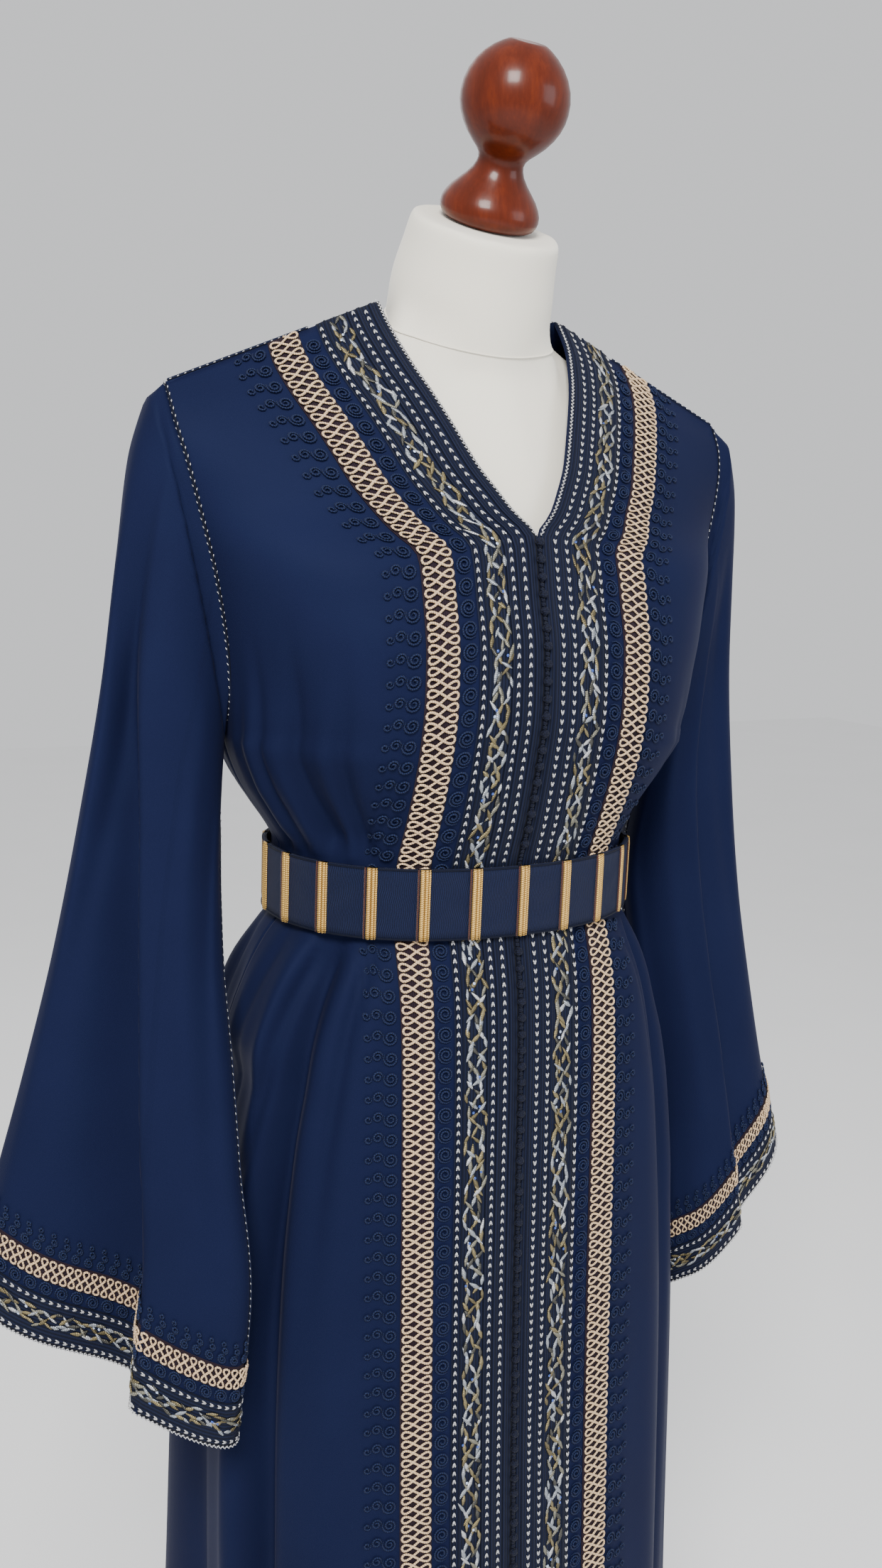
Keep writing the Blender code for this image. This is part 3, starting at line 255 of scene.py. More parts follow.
class Panel:
    # Points of a cloth surface on a grid: rows run along its bands, columns away from its edge

    def __init__(self, points, spread, hint, closed=False):
        self.points, self.spread, self.closed = points, np.asarray(spread, float), closed
        if closed:
            around = np.concatenate([points[-2:-1], points, points[1:2]])
            along = (around[2:] - around[:-2])
        else:
            along = np.gradient(points, axis=0)
        across = np.gradient(points, axis=1)
        normal = unit(np.cross(across, along))
        if (normal * hint(points)).sum() < 0:
            normal = -normal
        self.flips = (np.cross(across, along) * normal).sum() < 0
        self.normal = normal
        self.arcs = lengths(points)

    def sample(self, grid, row, column):
        i = np.clip(row.astype(int), 0, grid.shape[0] - 2)
        j = np.clip(column.astype(int), 0, grid.shape[1] - 2)
        f, g = (row - i)[..., None], (column - j)[..., None]
        low = mix(grid[i, j], grid[i, j + 1], g)
        return mix(low, mix(grid[i + 1, j], grid[i + 1, j + 1], g), f)

    def arc(self, across):
        j = np.interp(across, self.spread, np.arange(len(self.spread)))
        i = int(min(j, len(self.spread) - 2))
        return mix(self.arcs[:, i], self.arcs[:, i + 1], j - i)

    def place(self, middle, across, along, lift):
        # a spot this far from the edge and this far along the band whose middle is given
        arc = self.arc(middle)
        if self.closed:
            along = np.mod(along, arc[-1])
        row = np.interp(along, arc, np.arange(len(arc)))
        column = np.interp(across, self.spread, np.arange(len(self.spread)))
        row, column = np.broadcast_arrays(row, column)
        spot = self.sample(self.points, row, column)
        return spot + unit(self.sample(self.normal, row, column)) * np.asarray(lift)[..., None]


def rowMarks(first, last, step):
    marks = []
    for row in range(first, last):
        count = max(1, math.ceil((rowFront[row + 1] - rowFront[row]) / step))
        marks += [row + k / count for k in range(count)]
    return np.array(marks + [last])


def frontAcross(row, side, spread, tail):
    # points of one front's row: at the given distances from its edge, then evenly to its side
    zFront, zSide = heights(row)
    inner = float(neckHalf(zFront)) if zFront > body["vZ"] else 0.0
    xs = np.linspace(inner, float(halfWidth(zSide)), 360)
    run = frontPoint(np.full_like(xs, row), xs, side)
    arc = lengths(run)
    return readLine(spreadOut(spread, arc[-1], tail), arc, run)


marks = rowMarks(0, len(rowFront) - 1, body["rowStep"])
bandSpread = np.arange(0.0, 13.01, 0.2)
frontPanels = {side: Panel(np.stack([frontAcross(row, side, bandSpread, 0) for row in marks]), bandSpread,
                           lambda points: np.array([0.0, -1.0, 0.0])) for side in (-1, 1)}

backRows = np.linspace(0.0, len(rowFront) - 1, 560)


def backAt(x, z):
    # a point of the back at this place and height, found between its rows
    run = backPoint(backRows, np.full_like(backRows, min(abs(x), 22.8)), 1 if x >= 0 else -1)
    keep = np.concatenate([[True], np.diff(np.maximum.accumulate(run[:, 2])) > 1e-9])
    return readLine(z, run[keep, 2], run[keep])


sleeves = {
    "shape": {  # share, top fold x y z, underarm seam x y z, outer bulge, inner bulge, valley
        -1: ((0.03, 24.2, -0.2, 138.2, 18.85, 0.0, 113.9, 3.1, 4.0, 0.0),
             (0.09, 25.3, 0.0, 134.6, 19.1, -0.5, 111.6, 3.1, 4.0, 0.4),
             (0.20, 26.3, 0.3, 127.5, 19.4, -1.7, 108.0, 3.0, 3.7, 1.4),
             (0.33, 27.2, 0.6, 119.0, 19.7, -2.9, 103.4, 3.0, 3.3, 2.2),
             (0.48, 28.7, 1.0, 109.3, 19.9, -4.4, 98.0, 3.0, 3.0, 2.7),
             (0.62, 30.4, 1.3, 100.2, 19.9, -6.2, 92.2, 3.0, 2.4, 3.1),
             (0.75, 32.4, 1.5, 91.9, 19.8, -7.6, 85.4, 3.1, 2.0, 3.4),
             (0.88, 34.6, 1.7, 83.8, 19.3, -8.8, 76.8, 3.2, 1.8, 3.7),
             (1.00, 36.8, 1.8, 76.0, 20.3, -9.2, 65.2, 3.4, 1.8, 3.9)),
        1: ((0.03, 24.2, -0.2, 138.2, 18.85, 0.0, 113.9, 3.1, 4.0, 0.0),
            (0.09, 25.3, 0.0, 134.6, 18.9, 0.7, 111.4, 3.2, 4.0, 0.1),
            (0.20, 26.2, 0.3, 127.5, 18.7, 1.6, 107.2, 3.3, 3.7, 0.4),
            (0.33, 26.9, 0.6, 119.0, 18.5, 2.1, 102.2, 3.5, 3.5, 0.7),
            (0.48, 28.2, 1.0, 109.3, 19.4, 2.0, 95.8, 3.8, 3.3, 0.9),
            (0.62, 29.8, 1.4, 100.2, 20.9, 1.7, 88.6, 4.0, 3.2, 1.0),
            (0.75, 31.8, 1.8, 91.7, 22.3, 1.3, 80.8, 4.3, 3.2, 1.1),
            (0.88, 34.0, 2.2, 83.6, 23.3, 0.9, 72.2, 4.6, 3.2, 1.2),
            (1.00, 36.6, 2.5, 75.4, 23.9, 0.5, 62.8, 5.0, 3.4, 1.3))},
    "valleyTurn": {  # share, degrees round from the top fold
        -1: ((0.0, 44.0), (0.22, 56.0), (0.42, 78.0), (0.64, 91.0), (0.79, 97.0), (0.93, 101.0), (1.0, 103.0)),
        1: ((0.0, 70.0), (0.5, 84.0), (1.0, 92.0))},
    "valleyWidth": 32.0, "lobeWidth": 3.2, "recess": (0.6, 0.03, 0.004, 92.0, 62.0),
    "columns": 20, "around": 160, "rings": 150,
    "creases": {  # column low, column high, half width, share low, share high, depth
        -1: ((3.4, 2.6, 0.5, 0.10, 0.55, -0.35), (6.6, 7.2, 0.6, 0.12, 0.7, 0.3), (8.2, 8.0, 0.5, 0.15, 0.8, -0.3),
             (1.6, 1.9, 0.5, 0.3, 1.0, 0.25), (13.0, 13.5, 0.8, 0.1, 0.9, -0.3), (16.5, 16.0, 0.8, 0.2, 1.0, 0.3)),
        1: ((3.2, 2.8, 0.6, 0.10, 0.6, -0.3), (6.4, 6.8, 0.6, 0.12, 0.8, 0.25), (8.0, 8.4, 0.6, 0.2, 1.0, -0.3),
            (13.5, 13.0, 0.8, 0.1, 0.9, -0.3), (16.8, 16.2, 0.7, 0.15, 1.0, 0.25), (18.0, 18.4, 0.6, 0.3, 1.0, -0.25))},
}


def sleeveRings(side):
    # rings of the sleeve's outer surface from the armhole to the hem, top fold first in each
    shape = sleeves["shape"][side]
    spots = np.linspace(0.0, sleeves["columns"], sleeves["around"], endpoint=False)
    half = sleeves["columns"] / 2
    top, under = len(rowFront) - 1, body["underarmRow"]
    row = np.where(spots <= half, top - spots, under + spots - half)
    outer = halfWidth(heights(row)[1])
    first = np.where((spots <= half)[:, None], frontPoint(row, outer, side), backPoint(row, outer, side))
    first[:, 0] += side * 0.03
    rings = [first]
    turn = 2 * np.pi * spots / sleeves["columns"]
    for share in np.linspace(0.03, 1.0, sleeves["rings"]):
        topFold, seam = (np.array([curve(shape, c)(share) for c in cells]) for cells in ((1, 2, 3), (4, 5, 6)))
        outerBulge, innerBulge, valley = (curve(shape, c)(share) for c in (7, 8, 9))
        middle, reach = (topFold + seam) / 2, (topFold - seam) / 2
        flat = unit(np.array([reach[0], reach[1], 0.0]))
        facing = unit(mix(np.array([flat[1], -flat[0], 0.0]), np.array([0.0, -1.0, 0.0]), smooth(0.25, 0.0, share)))
        rise = np.abs(np.sin(turn))
        away = np.degrees(turn) - curve(sleeves["valleyTurn"][side], 1)(share)
        dip = valley * np.exp(-((away / np.where(away > 0, sleeves["lobeWidth"], sleeves["valleyWidth"])) ** 2))
        push = np.where(turn < np.pi, outerBulge * rise**0.75 - dip, -innerBulge * rise ** mix(0.75, 1.3, share))
        deep, at, wide, turnAt, turnWide = sleeves["recess"]
        push = push - deep * np.exp(-(((share - at) / wide) ** 2) - ((np.degrees(turn) - turnAt) / turnWide) ** 4)
        for low, high, width, begin, end, deep in sleeves["creases"][side]:
            part = (share - begin) / (end - begin)
            away = (spots - mix(low, high, np.clip(part, 0, 1))) / width
            fade = smooth(-0.1, 0.25, part) * (smooth(1.3, 0.8, part) if end < 1 else 1.0)
            push = push + np.where(turn < np.pi, 1, -1) * deep * fade * np.exp(-away**2)
        ring = middle + reach * np.cos(turn)[:, None] + facing * push[:, None]
        rings.append(ring * np.array([side, 1.0, 1.0]))
    return np.stack(rings)


def sleeveGrid(side, spread, tail):
    # a line of points up from the hem for each spot round the sleeve, the first line again at the end
    columns = sleeveRings(side)[::-1]
    arcs = lengths(columns)
    grid = [readLine(spreadOut(spread, arcs[-1, k], tail), arcs[:, k], columns[:, k]) for k in range(columns.shape[1])]
    return np.stack(grid + grid[:1])


def fromMiddle(points):
    return points - points[:-1].mean(axis=0, keepdims=True)


cuffSpread = np.arange(0.0, 8.61, 0.2)
cuffPanels = {side: Panel(sleeveGrid(side, cuffSpread, 0), cuffSpread, fromMiddle, closed=True) for side in (-1, 1)}

print("stage: materials")


class Wire:
    # one socket of a material; sums on it add Math nodes

    def __init__(self, tree, socket):
        self.tree, self.socket = tree, socket

    def calc(self, operation, *others):
        node = self.tree.nodes.new("ShaderNodeMath")
        node.operation = operation
        for slot, value in zip(node.inputs, (self,) + others):
            plug(self.tree, slot, value)
        return Wire(self.tree, node.outputs[0])

    def __add__(self, other):
        return self.calc("ADD", other)

    def __mul__(self, other):
        return self.calc("MULTIPLY", other)

    __radd__ = __add__
    __rmul__ = __mul__


def plug(tree, slot, value):
    if isinstance(value, Wire):
        tree.links.new(value.socket, slot)
    else:
        slot.default_value = value


class Finish:
    # a material under construction, with one method for every other kind of node

    def __init__(self, name, **fixed):
        self.material = bpy.data.materials.new(name)
        self.material.use_nodes = True
        self.tree = self.material.node_tree
        self.shader = self.tree.nodes["Principled BSDF"]
        for socket, value in fixed.items():
            self.shader.inputs[socket.replace("_", " ")].default_value = value

    def node(self, kind, settings=None, values=None, output=0):
        node = self.tree.nodes.new("ShaderNode" + kind)
        for key, value in (settings or {}).items():
            if key == "stops":
                ramp = node.color_ramp
                for place, colour in value[2:]:
                    ramp.elements.new(place)
                for element, (place, colour) in zip(ramp.elements, sorted(value)):
                    element.position, element.color = place, (*colour, 1.0)
            else:
                setattr(node, key, value)
        for key, value in (values or {}).items():
            plug(self.tree, node.inputs[key], value)
        return Wire(self.tree, node.outputs[output])

    def objectPlace(self):
        return self.node("TexCoord", output=3)

    def bandPlace(self):
        # the piece's own map, in metres across and along it
        place = self.node("UVMap", {"uv_map": "UVMap"})
        split = self.node("SeparateXYZ", values={0: place})
        return split, Wire(self.tree, split.socket.node.outputs[1])

    def noise(self, scale, detail=2.0, place=None, rough=0.5):
        return self.node("TexNoise", values={"Vector": place or self.objectPlace(), "Scale": scale,
                                             "Detail": detail, "Roughness": rough})

    def blend(self, factor, low, high):
        node = self.tree.nodes.new("ShaderNodeMix")
        node.data_type = "RGBA"
        for slot, value in ((0, factor), (6, low), (7, high)):
            plug(self.tree, node.inputs[slot], value if isinstance(value, Wire) or slot == 0 else (*value, 1.0))
        return Wire(self.tree, node.outputs[2])

    def bump(self, height, distance, strength):
        return self.node("Bump", values={"Height": height, "Distance": distance, "Strength": strength})

    def done(self, **links):
        for socket, value in links.items():
            plug(self.tree, self.shader.inputs[socket.replace("_", " ")], value)
        return self.material


def colour(red, green, blue):
    # a colour as it looks on screen, made linear
    return tuple((c / 255 / 12.92) if c <= 10 else ((c / 255 + 0.055) / 1.055) ** 2.4 for c in (red, green, blue))


def clothFinish():
    look = Finish("navyCrepe", Sheen_Weight=0.03, Sheen_Roughness=0.35, Specular_IOR_Level=0.035,
                  Sheen_Tint=(0.5, 0.5, 0.72, 1.0), Specular_Tint=(0.5, 0.65, 1.0, 1.0))
    slow = look.noise(9.0, 3.0)
    grain = look.noise(1500.0, 2.0)
    across, along = look.bandPlace()
    weft = (along * 5200.0).calc("SINE")
    warp = (across * 5200.0).calc("SINE")
    weave = warp * weft
    shade = look.blend(slow, colour(13, 17, 39), colour(20, 26, 53))
    shade = look.blend(grain * 0.3, shade, colour(32, 36, 67))
    height = grain + weave * 0.25
    return look.done(Base_Color=shade, Roughness=slow * 0.12 + grain * 0.08 + 0.46,
                     Normal=look.bump(height, 0.00018, 0.5))


def ribFinish(name, grooveShadedTone, ridgeLitTone, pitch, turned=False, wave=0.0):
    # corded braid: ribs run along the band, or across it when turned; its colour is painted shade in the troughs
    # between ribs and painted light on their crowns
    look = Finish(name, Sheen_Weight=0.02, Sheen_Roughness=0.5, Specular_IOR_Level=0.12)
    across, along = look.bandPlace()
    main, other = (along, across) if turned else (across, along)
    if wave:
        main = main + (other * 260.0 + (main * 95.0).calc("SINE") * 2.0).calc("SINE") * wave
    rib = (main * (2 * math.pi / pitch)).calc("SINE") * 0.5 + 0.5
    twist = ((other * 2.2 + main) * (2 * math.pi / (pitch * 0.9))).calc("SINE") * 0.5 + 0.5
    fuzz = look.noise(900.0, 2.0)
    shade = look.blend(rib * 0.7 + fuzz * 0.3, grooveShadedTone, ridgeLitTone)
    return look.done(Base_Color=shade, Roughness=fuzz * 0.2 + 0.55,
                     Normal=look.bump(rib + twist * 0.25 + fuzz * 0.2, 0.0005, 0.8))


def cordFinish(name, grooveShadedTone, ridgeLitTone, roughness, metallic=0.0, pitch=0.0016, sheen=0.2):
    # twisted thread: turns run slantwise round the cord; its colour is painted shade in the grooves between plies and
    # painted light on their crowns
    look = Finish(name, Metallic=metallic, Sheen_Weight=sheen, Specular_IOR_Level=0.16)
    around, along = look.bandPlace()
    ply = ((along * (1.0 / pitch) + around * 250.0) * (2 * math.pi)).calc("SINE") * 0.5 + 0.5
    fuzz = look.noise(700.0, 3.0)
    shade = look.blend(ply * 0.65 + fuzz * 0.35, grooveShadedTone, ridgeLitTone)
    return look.done(Base_Color=shade, Roughness=fuzz * 0.15 + roughness,
                     Normal=look.bump(ply + fuzz * 0.2, 0.0003, 0.8))


def leafFinish():
    # metal thread laid side by side, with painted shade as dark lines between the strands; each leaf has a tint of its
    # own, some of them painted shade and painted highlight
    look = Finish("metalLeaf", Metallic=0.75, Specular_IOR_Level=0.6)
    tint = look.node("Attribute", {"attribute_name": "tint"})
    along = look.bandPlace()[1]
    strand = (along * 5000.0).calc("SINE") * 0.5 + 0.5
    glint = look.noise(800.0, 2.0)
    shade = look.blend(strand * 0.35, tint, colour(60, 55, 45))
    return look.done(Base_Color=shade, Roughness=glint * 0.3 + 0.22,
                     Normal=look.bump(strand + glint * 0.5, 0.0003, 0.8))


def woodFinish():
    look = Finish("turnedWood", Coat_Weight=0.16, Coat_Roughness=0.14, Specular_IOR_Level=0.15)
    place = look.node("Mapping", values={"Vector": look.objectPlace(), "Scale": (1.0, 1.0, 0.22)})
    grain = look.noise(95.0, 5.0, place, 0.6)
    line = look.noise(520.0, 2.0, place)
    shade = look.node("ValToRGB", {"stops": ((0.3, colour(52, 16, 5)), (0.72, colour(112, 44, 14)),
                                             (0.5, colour(80, 27, 9)))}, {0: (grain * 0.75 + line * 0.25) * 0.5 + 0.25})
    return look.done(Base_Color=shade, Roughness=grain * 0.15 + 0.24, Normal=look.bump(line, 0.00008, 0.5))


def jerseyFinish():
    look = Finish("formJersey", Sheen_Weight=0.25, Specular_IOR_Level=0.25)
    across = look.noise(5.0, 3.0)
    knit = look.noise(1300.0, 2.0)
    shade = look.blend(across, colour(226, 221, 206), colour(238, 234, 222))
    shade = look.blend(knit * 0.18, shade, colour(196, 188, 170))
    return look.done(Base_Color=shade, Roughness=knit * 0.1 + 0.72, Normal=look.bump(knit, 0.00015, 0.6))


def metalFinish():
    look = Finish("brushedSteel", Metallic=1.0)
    place = look.node("Mapping", values={"Vector": look.objectPlace(), "Scale": (1.0, 1.0, 30.0)})
    brush = look.noise(60.0, 3.0, place)
    shade = look.blend(brush, (0.3, 0.3, 0.31), (0.45, 0.45, 0.46))
    return look.done(Base_Color=shade, Roughness=brush * 0.2 + 0.28, Normal=look.bump(brush, 0.0001, 0.4))


def sequinFinish():
    look = Finish("cupSequin", Metallic=0.6, Coat_Weight=0.6, Coat_Roughness=0.05)
    tint = look.node("Attribute", {"attribute_name": "tint"})
    speck = look.noise(300.0, 1.0)
    return look.done(Base_Color=tint, Roughness=speck * 0.1 + 0.12)


finishes = {
    "cloth": clothFinish(),
    # the two colours of each braid and cord finish are its shaded and lit tones: painted shade in the grooves, painted
    # light on the crowns
    "rib": ribFinish("navyBraid", colour(4, 7, 20), colour(19, 26, 50), 0.0026),
    "belt": ribFinish("beltBand", colour(5, 9, 25), colour(24, 33, 66), 0.0013, turned=True, wave=0.0009),
    "ground": ribFinish("braidGround", colour(18, 12, 20), colour(48, 34, 44), 0.0014),
    "navyCord": cordFinish("navyCord", colour(4, 9, 28), colour(26, 40, 78), 0.5, sheen=0.03),
    "knot": cordFinish("knotThread", colour(2, 4, 12), colour(14, 20, 44), 0.6, sheen=0.04),
    "cream": cordFinish("creamCord", colour(150, 118, 84), colour(240, 214, 178), 0.5, sheen=0.05),
    "gold": cordFinish("goldCord", colour(134, 94, 40), colour(232, 194, 116), 0.3, 0.6, sheen=0.0),
    "brown": cordFinish("brownCord", colour(38, 18, 14), colour(84, 44, 34), 0.5),
    "silver": cordFinish("silverThread", colour(130, 130, 132), colour(226, 226, 228), 0.3, 0.55),
    "leaf": leafFinish(), "wood": woodFinish(), "jersey": jerseyFinish(), "steel": metalFinish(),
    "sequin": sequinFinish(),
}


def meshFrom(name, points, faces, look, maps=None, tints=None):
    # a joined mesh from arrays: points in centimetres, faces as equal rows of numbers
    mesh = bpy.data.meshes.new(name)
    mesh.vertices.add(len(points))
    mesh.vertices.foreach_set("co", (np.asarray(points) * cm).ravel())
    sides = faces.shape[1]
    mesh.loops.add(faces.size)
    mesh.loops.foreach_set("vertex_index", faces.ravel())
    mesh.polygons.add(len(faces))
    mesh.polygons.foreach_set("loop_start", np.arange(0, faces.size, sides))
    if maps is not None:
        layer = mesh.uv_layers.new(name="UVMap")
        layer.data.foreach_set("uv", (np.asarray(maps)[faces.ravel()] * cm).ravel())
    if tints is not None:
        layer = mesh.attributes.new("tint", "FLOAT_COLOR", "POINT")
        layer.data.foreach_set("color", np.asarray(tints).ravel())
    mesh.update()
    mesh.validate()
    mesh.shade_smooth()
    piece = bpy.data.objects.new(name, mesh)
    bpy.context.collection.objects.link(piece)
    return dress(piece, look)


def dress(piece, look):
    piece.data.materials.clear()
    piece.data.materials.append(finishes[look])
    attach(piece, "root")
    return piece


def only(piece):
    bpy.ops.object.select_all(action="DESELECT")
    piece.select_set(True)
    bpy.context.view_layer.objects.active = piece


def edited(piece, *steps):
    only(piece)
    bpy.ops.object.mode_set(mode="EDIT")
    bpy.ops.mesh.select_all(action="SELECT")
    for step in steps:
        step()
    bpy.ops.object.mode_set(mode="OBJECT")


def applied(piece, kind, **settings):
    only(piece)
    modifier = piece.modifiers.new(kind.title(), kind)
    for key, value in settings.items():
        setattr(modifier, key, value)
    bpy.ops.object.modifier_apply(modifier=modifier.name)


def joined(pieces, name):
    only(pieces[0])
    for other in pieces[1:]:
        other.select_set(True)
    bpy.ops.object.join()
    pieces[0].name = pieces[0].data.name = name
    return pieces[0]


def gridPiece(name, points, look, maps, flip=False, thick=0.0, merge=False):
    # a flat grid is added, and each of its points goes to its place on the cloth
    rows, columns = points.shape[:2]
    bpy.ops.mesh.primitive_grid_add(x_subdivisions=columns - 1, y_subdivisions=rows - 1, size=1.0)
    piece = bpy.context.object
    piece.name = piece.data.name = name
    piece.data.vertices.foreach_set("co", (points.reshape(-1, 3) * cm).ravel())
    corners = np.zeros(len(piece.data.loops), int)
    piece.data.loops.foreach_get("vertex_index", corners)
    piece.data.uv_layers[0].name = "UVMap"
    piece.data.uv_layers[0].data.foreach_set("uv", (maps.reshape(-1, 2)[corners] * cm).ravel())
    steps = []
    if merge:
        steps.append(lambda: bpy.ops.mesh.remove_doubles(threshold=weld))
    if flip:
        steps.append(lambda: bpy.ops.mesh.flip_normals())
    if steps:
        edited(piece, *steps)
    if thick:
        applied(piece, "SOLIDIFY", thickness=thick * cm, offset=-1.0)
    piece.data.shade_smooth()
    return dress(piece, look)


def strip(name, panel, low, high, lift, thick, look, slot, first=0.0, last=None, steps=10, middle=None):
    # a flat band on the cloth, between two distances from its edge
    middle = low if middle is None else middle
    last = panel.arc(middle)[-1] if last is None else last
    along = np.arange(first, last, 0.8)
    along = np.append(along, last - (0.01 if panel.closed else 0.0))
    across = np.linspace(low, high, steps)
    lifts = np.full((len(along), steps), lift + thick)
    lifts[:, [0, -1]] = lift + thick * 0.35
    points = panel.place(middle, across[None, :], along[:, None], lifts)
    if panel.closed:
        points[-1] = points[0]
    maps = together(across[None, :], along[:, None])
    return gridPiece(name, points, look, maps, panel.flips, thick, panel.closed)


def cords(name, panel, middle, starts, path, radius, lift, look, slot, sides=4, taper=0, mirror=False,
          closed=False):
    # the same path of cord, repeated along a band: path is (across, along, height) from each start
    path = np.asarray(path, float)
    if mirror:
        path = path * np.array([1.0, -1.0, 1.0])
    count, steps = len(starts), len(path)
    lead = np.gradient(path[:, :2], axis=0)
    if closed:
        lead = np.roll(path[:, :2], -1, axis=0) - np.roll(path[:, :2], 1, axis=0)
    lead = unit(lead)
    beside = np.stack([-lead[:, 1], lead[:, 0]], -1)
    wide = np.full(steps, radius)
    if taper:
        ends = np.minimum(np.arange(steps), np.arange(steps)[::-1])
        wide = radius * np.where(ends < taper, 0.35 + 0.65 * ends / taper, 1.0)
    turn = 2 * np.pi * np.arange(sides) / sides
    ring = np.zeros((steps, sides, 3))
    ring[..., :2] = path[:, None, :2] + beside[:, None] * (np.cos(turn) * wide[:, None])[..., None]
    ring[..., 2] = path[:, None, 2] + radius + np.sin(turn) * wide[:, None]
    across = np.broadcast_to(ring[None, ..., 0], (count, steps, sides))
    along = np.asarray(starts)[:, None, None] + ring[None, ..., 1]
    spots = panel.place(middle, across, along, lift + np.broadcast_to(ring[None, ..., 2], across.shape))
    run = lengths(path[:, :2])
    maps = together((turn / (2 * np.pi))[None, None, :] * 2 * np.pi * radius,
                    run[None, :, None] + 3.3 * np.arange(count)[:, None, None])
    i, j = np.meshgrid(np.arange(steps if closed else steps - 1), np.arange(sides), indexing="ij")
    k, m = (j + 1) % sides, (i + 1) % steps
    quads = np.stack([i * sides + j, i * sides + k, m * sides + k, m * sides + j], -1).reshape(-1, 4)
    if not closed:
        firstEnd, lastEnd = np.arange(sides)[::-1][:4], (steps - 1) * sides + np.arange(4)
        quads = np.concatenate([quads, [firstEnd, lastEnd]])
    faces = (quads[None] + (np.arange(count) * steps * sides)[:, None, None]).reshape(-1, 4)
    if panel.flips == mirror:
        faces = faces[:, ::-1]
    return meshFrom(name, spots.reshape(-1, 3), faces, look, maps.reshape(-1, 2))


def grainShape(segments, rings):
    # a small oval, kept as arrays to be laid out in rows; its poles lie along the stitch
    bpy.ops.mesh.primitive_uv_sphere_add(segments=segments, ring_count=rings, radius=1.0)
    grain = bpy.context.object
    edited(grain, lambda: bpy.ops.mesh.quads_convert_to_tris())
    points = np.array([(v.co.x, v.co.z, -v.co.y) for v in grain.data.vertices])
    faces = np.array([tuple(f.vertices) for f in grain.data.polygons])
    bpy.data.objects.remove(grain, do_unlink=True)
    return points, faces


grainShapes = {"stitch": grainShape(5, 3), "leaf": grainShape(6, 4), "knot": grainShape(8, 5)}


def grains(name, panel, middle, spots, sizes, turns, lift, look, tints=None, pinch=0.0, kind="stitch"):
    # small oval bodies on a band: spots and sizes are one row each, turned about the cloth's normal
    spots, sizes, turns = (np.asarray(value, float) for value in (spots, sizes, turns))
    count = len(spots)
    sizes, turns = np.broadcast_to(sizes, (count, 3)), np.broadcast_to(turns, (count,))
    shape, shapeFaces = grainShapes[kind]
    wide = 1.0 - pinch * np.abs(shape[:, 1]) ** 2
    local = shape[None] * sizes[:, None]
    local[..., 0] *= wide
    cos, sin = np.cos(turns)[:, None], np.sin(turns)[:, None]
    across = spots[:, 0:1] + local[..., 0] * cos - local[..., 1] * sin
    along = spots[:, 1:2] + local[..., 0] * sin + local[..., 1] * cos
    placed = panel.place(middle, across, along, lift + sizes[:, 2:3] + local[..., 2])
    faces = (shapeFaces[None] + (np.arange(count) * len(shape))[:, None, None]).reshape(-1, 3)
    if panel.flips:
        faces = faces[:, ::-1]
    maps = np.stack([local[..., 0], local[..., 1] + spots[:, 1:2]], -1).reshape(-1, 2)
    if tints is not None:
        tints = np.repeat(np.concatenate([tints, np.ones((count, 1))], -1), len(shape), axis=0)
    return meshFrom(name, placed.reshape(-1, 3), faces, look, maps, tints)


print("stage: cloth")
cloth = {"columns": 58, "backColumns": 93, "thick": 0.12, "sleeveRows": 110}
frontWide = np.arange(0.0, 12.61, 0.6)


def sheetArea(points):
    a, b, c, d = points[:-1, :-1], points[:-1, 1:], points[1:, 1:], points[1:, :-1]
    return float(np.linalg.norm(np.cross(c - a, d - b), axis=-1).sum() / 2 * cm * cm)


def clothPiece(node, points, flip, merge=False):
    # a hung cloth in the place of its solid, mapped by how far each point lies across and along it
    maps = together(lengths(points.transpose(1, 0, 2)).T, lengths(points)[:, :1])
    piece = gridPiece(node + "_cloth", points, "cloth", maps, flip, cloth["thick"], merge)
    area = round(sheetArea(points), 3)
    print(node, "area", area)
    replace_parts(piece, node)


for side, word in hands:
    points = np.stack([frontAcross(row, side, frontWide, cloth["columns"]) for row in marks])
    points[marks <= body["vRow"], 0, 0] = side * 0.03
    points[marks <= body["underarmRow"], -1, 1] = -body["sewnGap"]
    clothPiece("front_" + word, points, side < 0)

columns = np.linspace(-1.0, 1.0, cloth["backColumns"])
backPoints = []
for row in marks:
    outer = float(halfWidth(heights(row)[1]))
    share = smooth(body["vZ"], body["neckZ"], heights(row)[0])
    k = np.abs(columns)
    parted = np.where(k <= 0.5, body["neckX"] * np.sin(k * np.pi), mix(body["neckX"], outer, (k - 0.5) * 2))
    x = np.clip(mix(outer * np.sin(k * np.pi / 2), parted, share), 0.0, outer)
    rows = np.full_like(x, row)
    run = np.where((columns < 0)[:, None], backPoint(rows, x, -1), backPoint(rows, x, 1))
    if row <= body["underarmRow"]:
        run[[0, -1], 1] = body["sewnGap"]
    backPoints.append(run)
backPoints = np.stack(backPoints)
backPoints[-1, :, 1] = np.maximum(backPoints[-1, :, 1], body["shoulderY"] + body["sewnGap"])
clothPiece("back", backPoints, True)

for side, word in hands:
    points = sleeveGrid(side, np.arange(0.0, 8.6, 0.7), cloth["sleeveRows"])
    outward = (np.cross(points[1:, 1:] - points[:-1, :-1], points[1:, :-1] - points[:-1, 1:])
               * fromMiddle(points)[:-1, :-1]).sum() < 0
    clothPiece("sleeve_" + word, points, bool(outward), True)

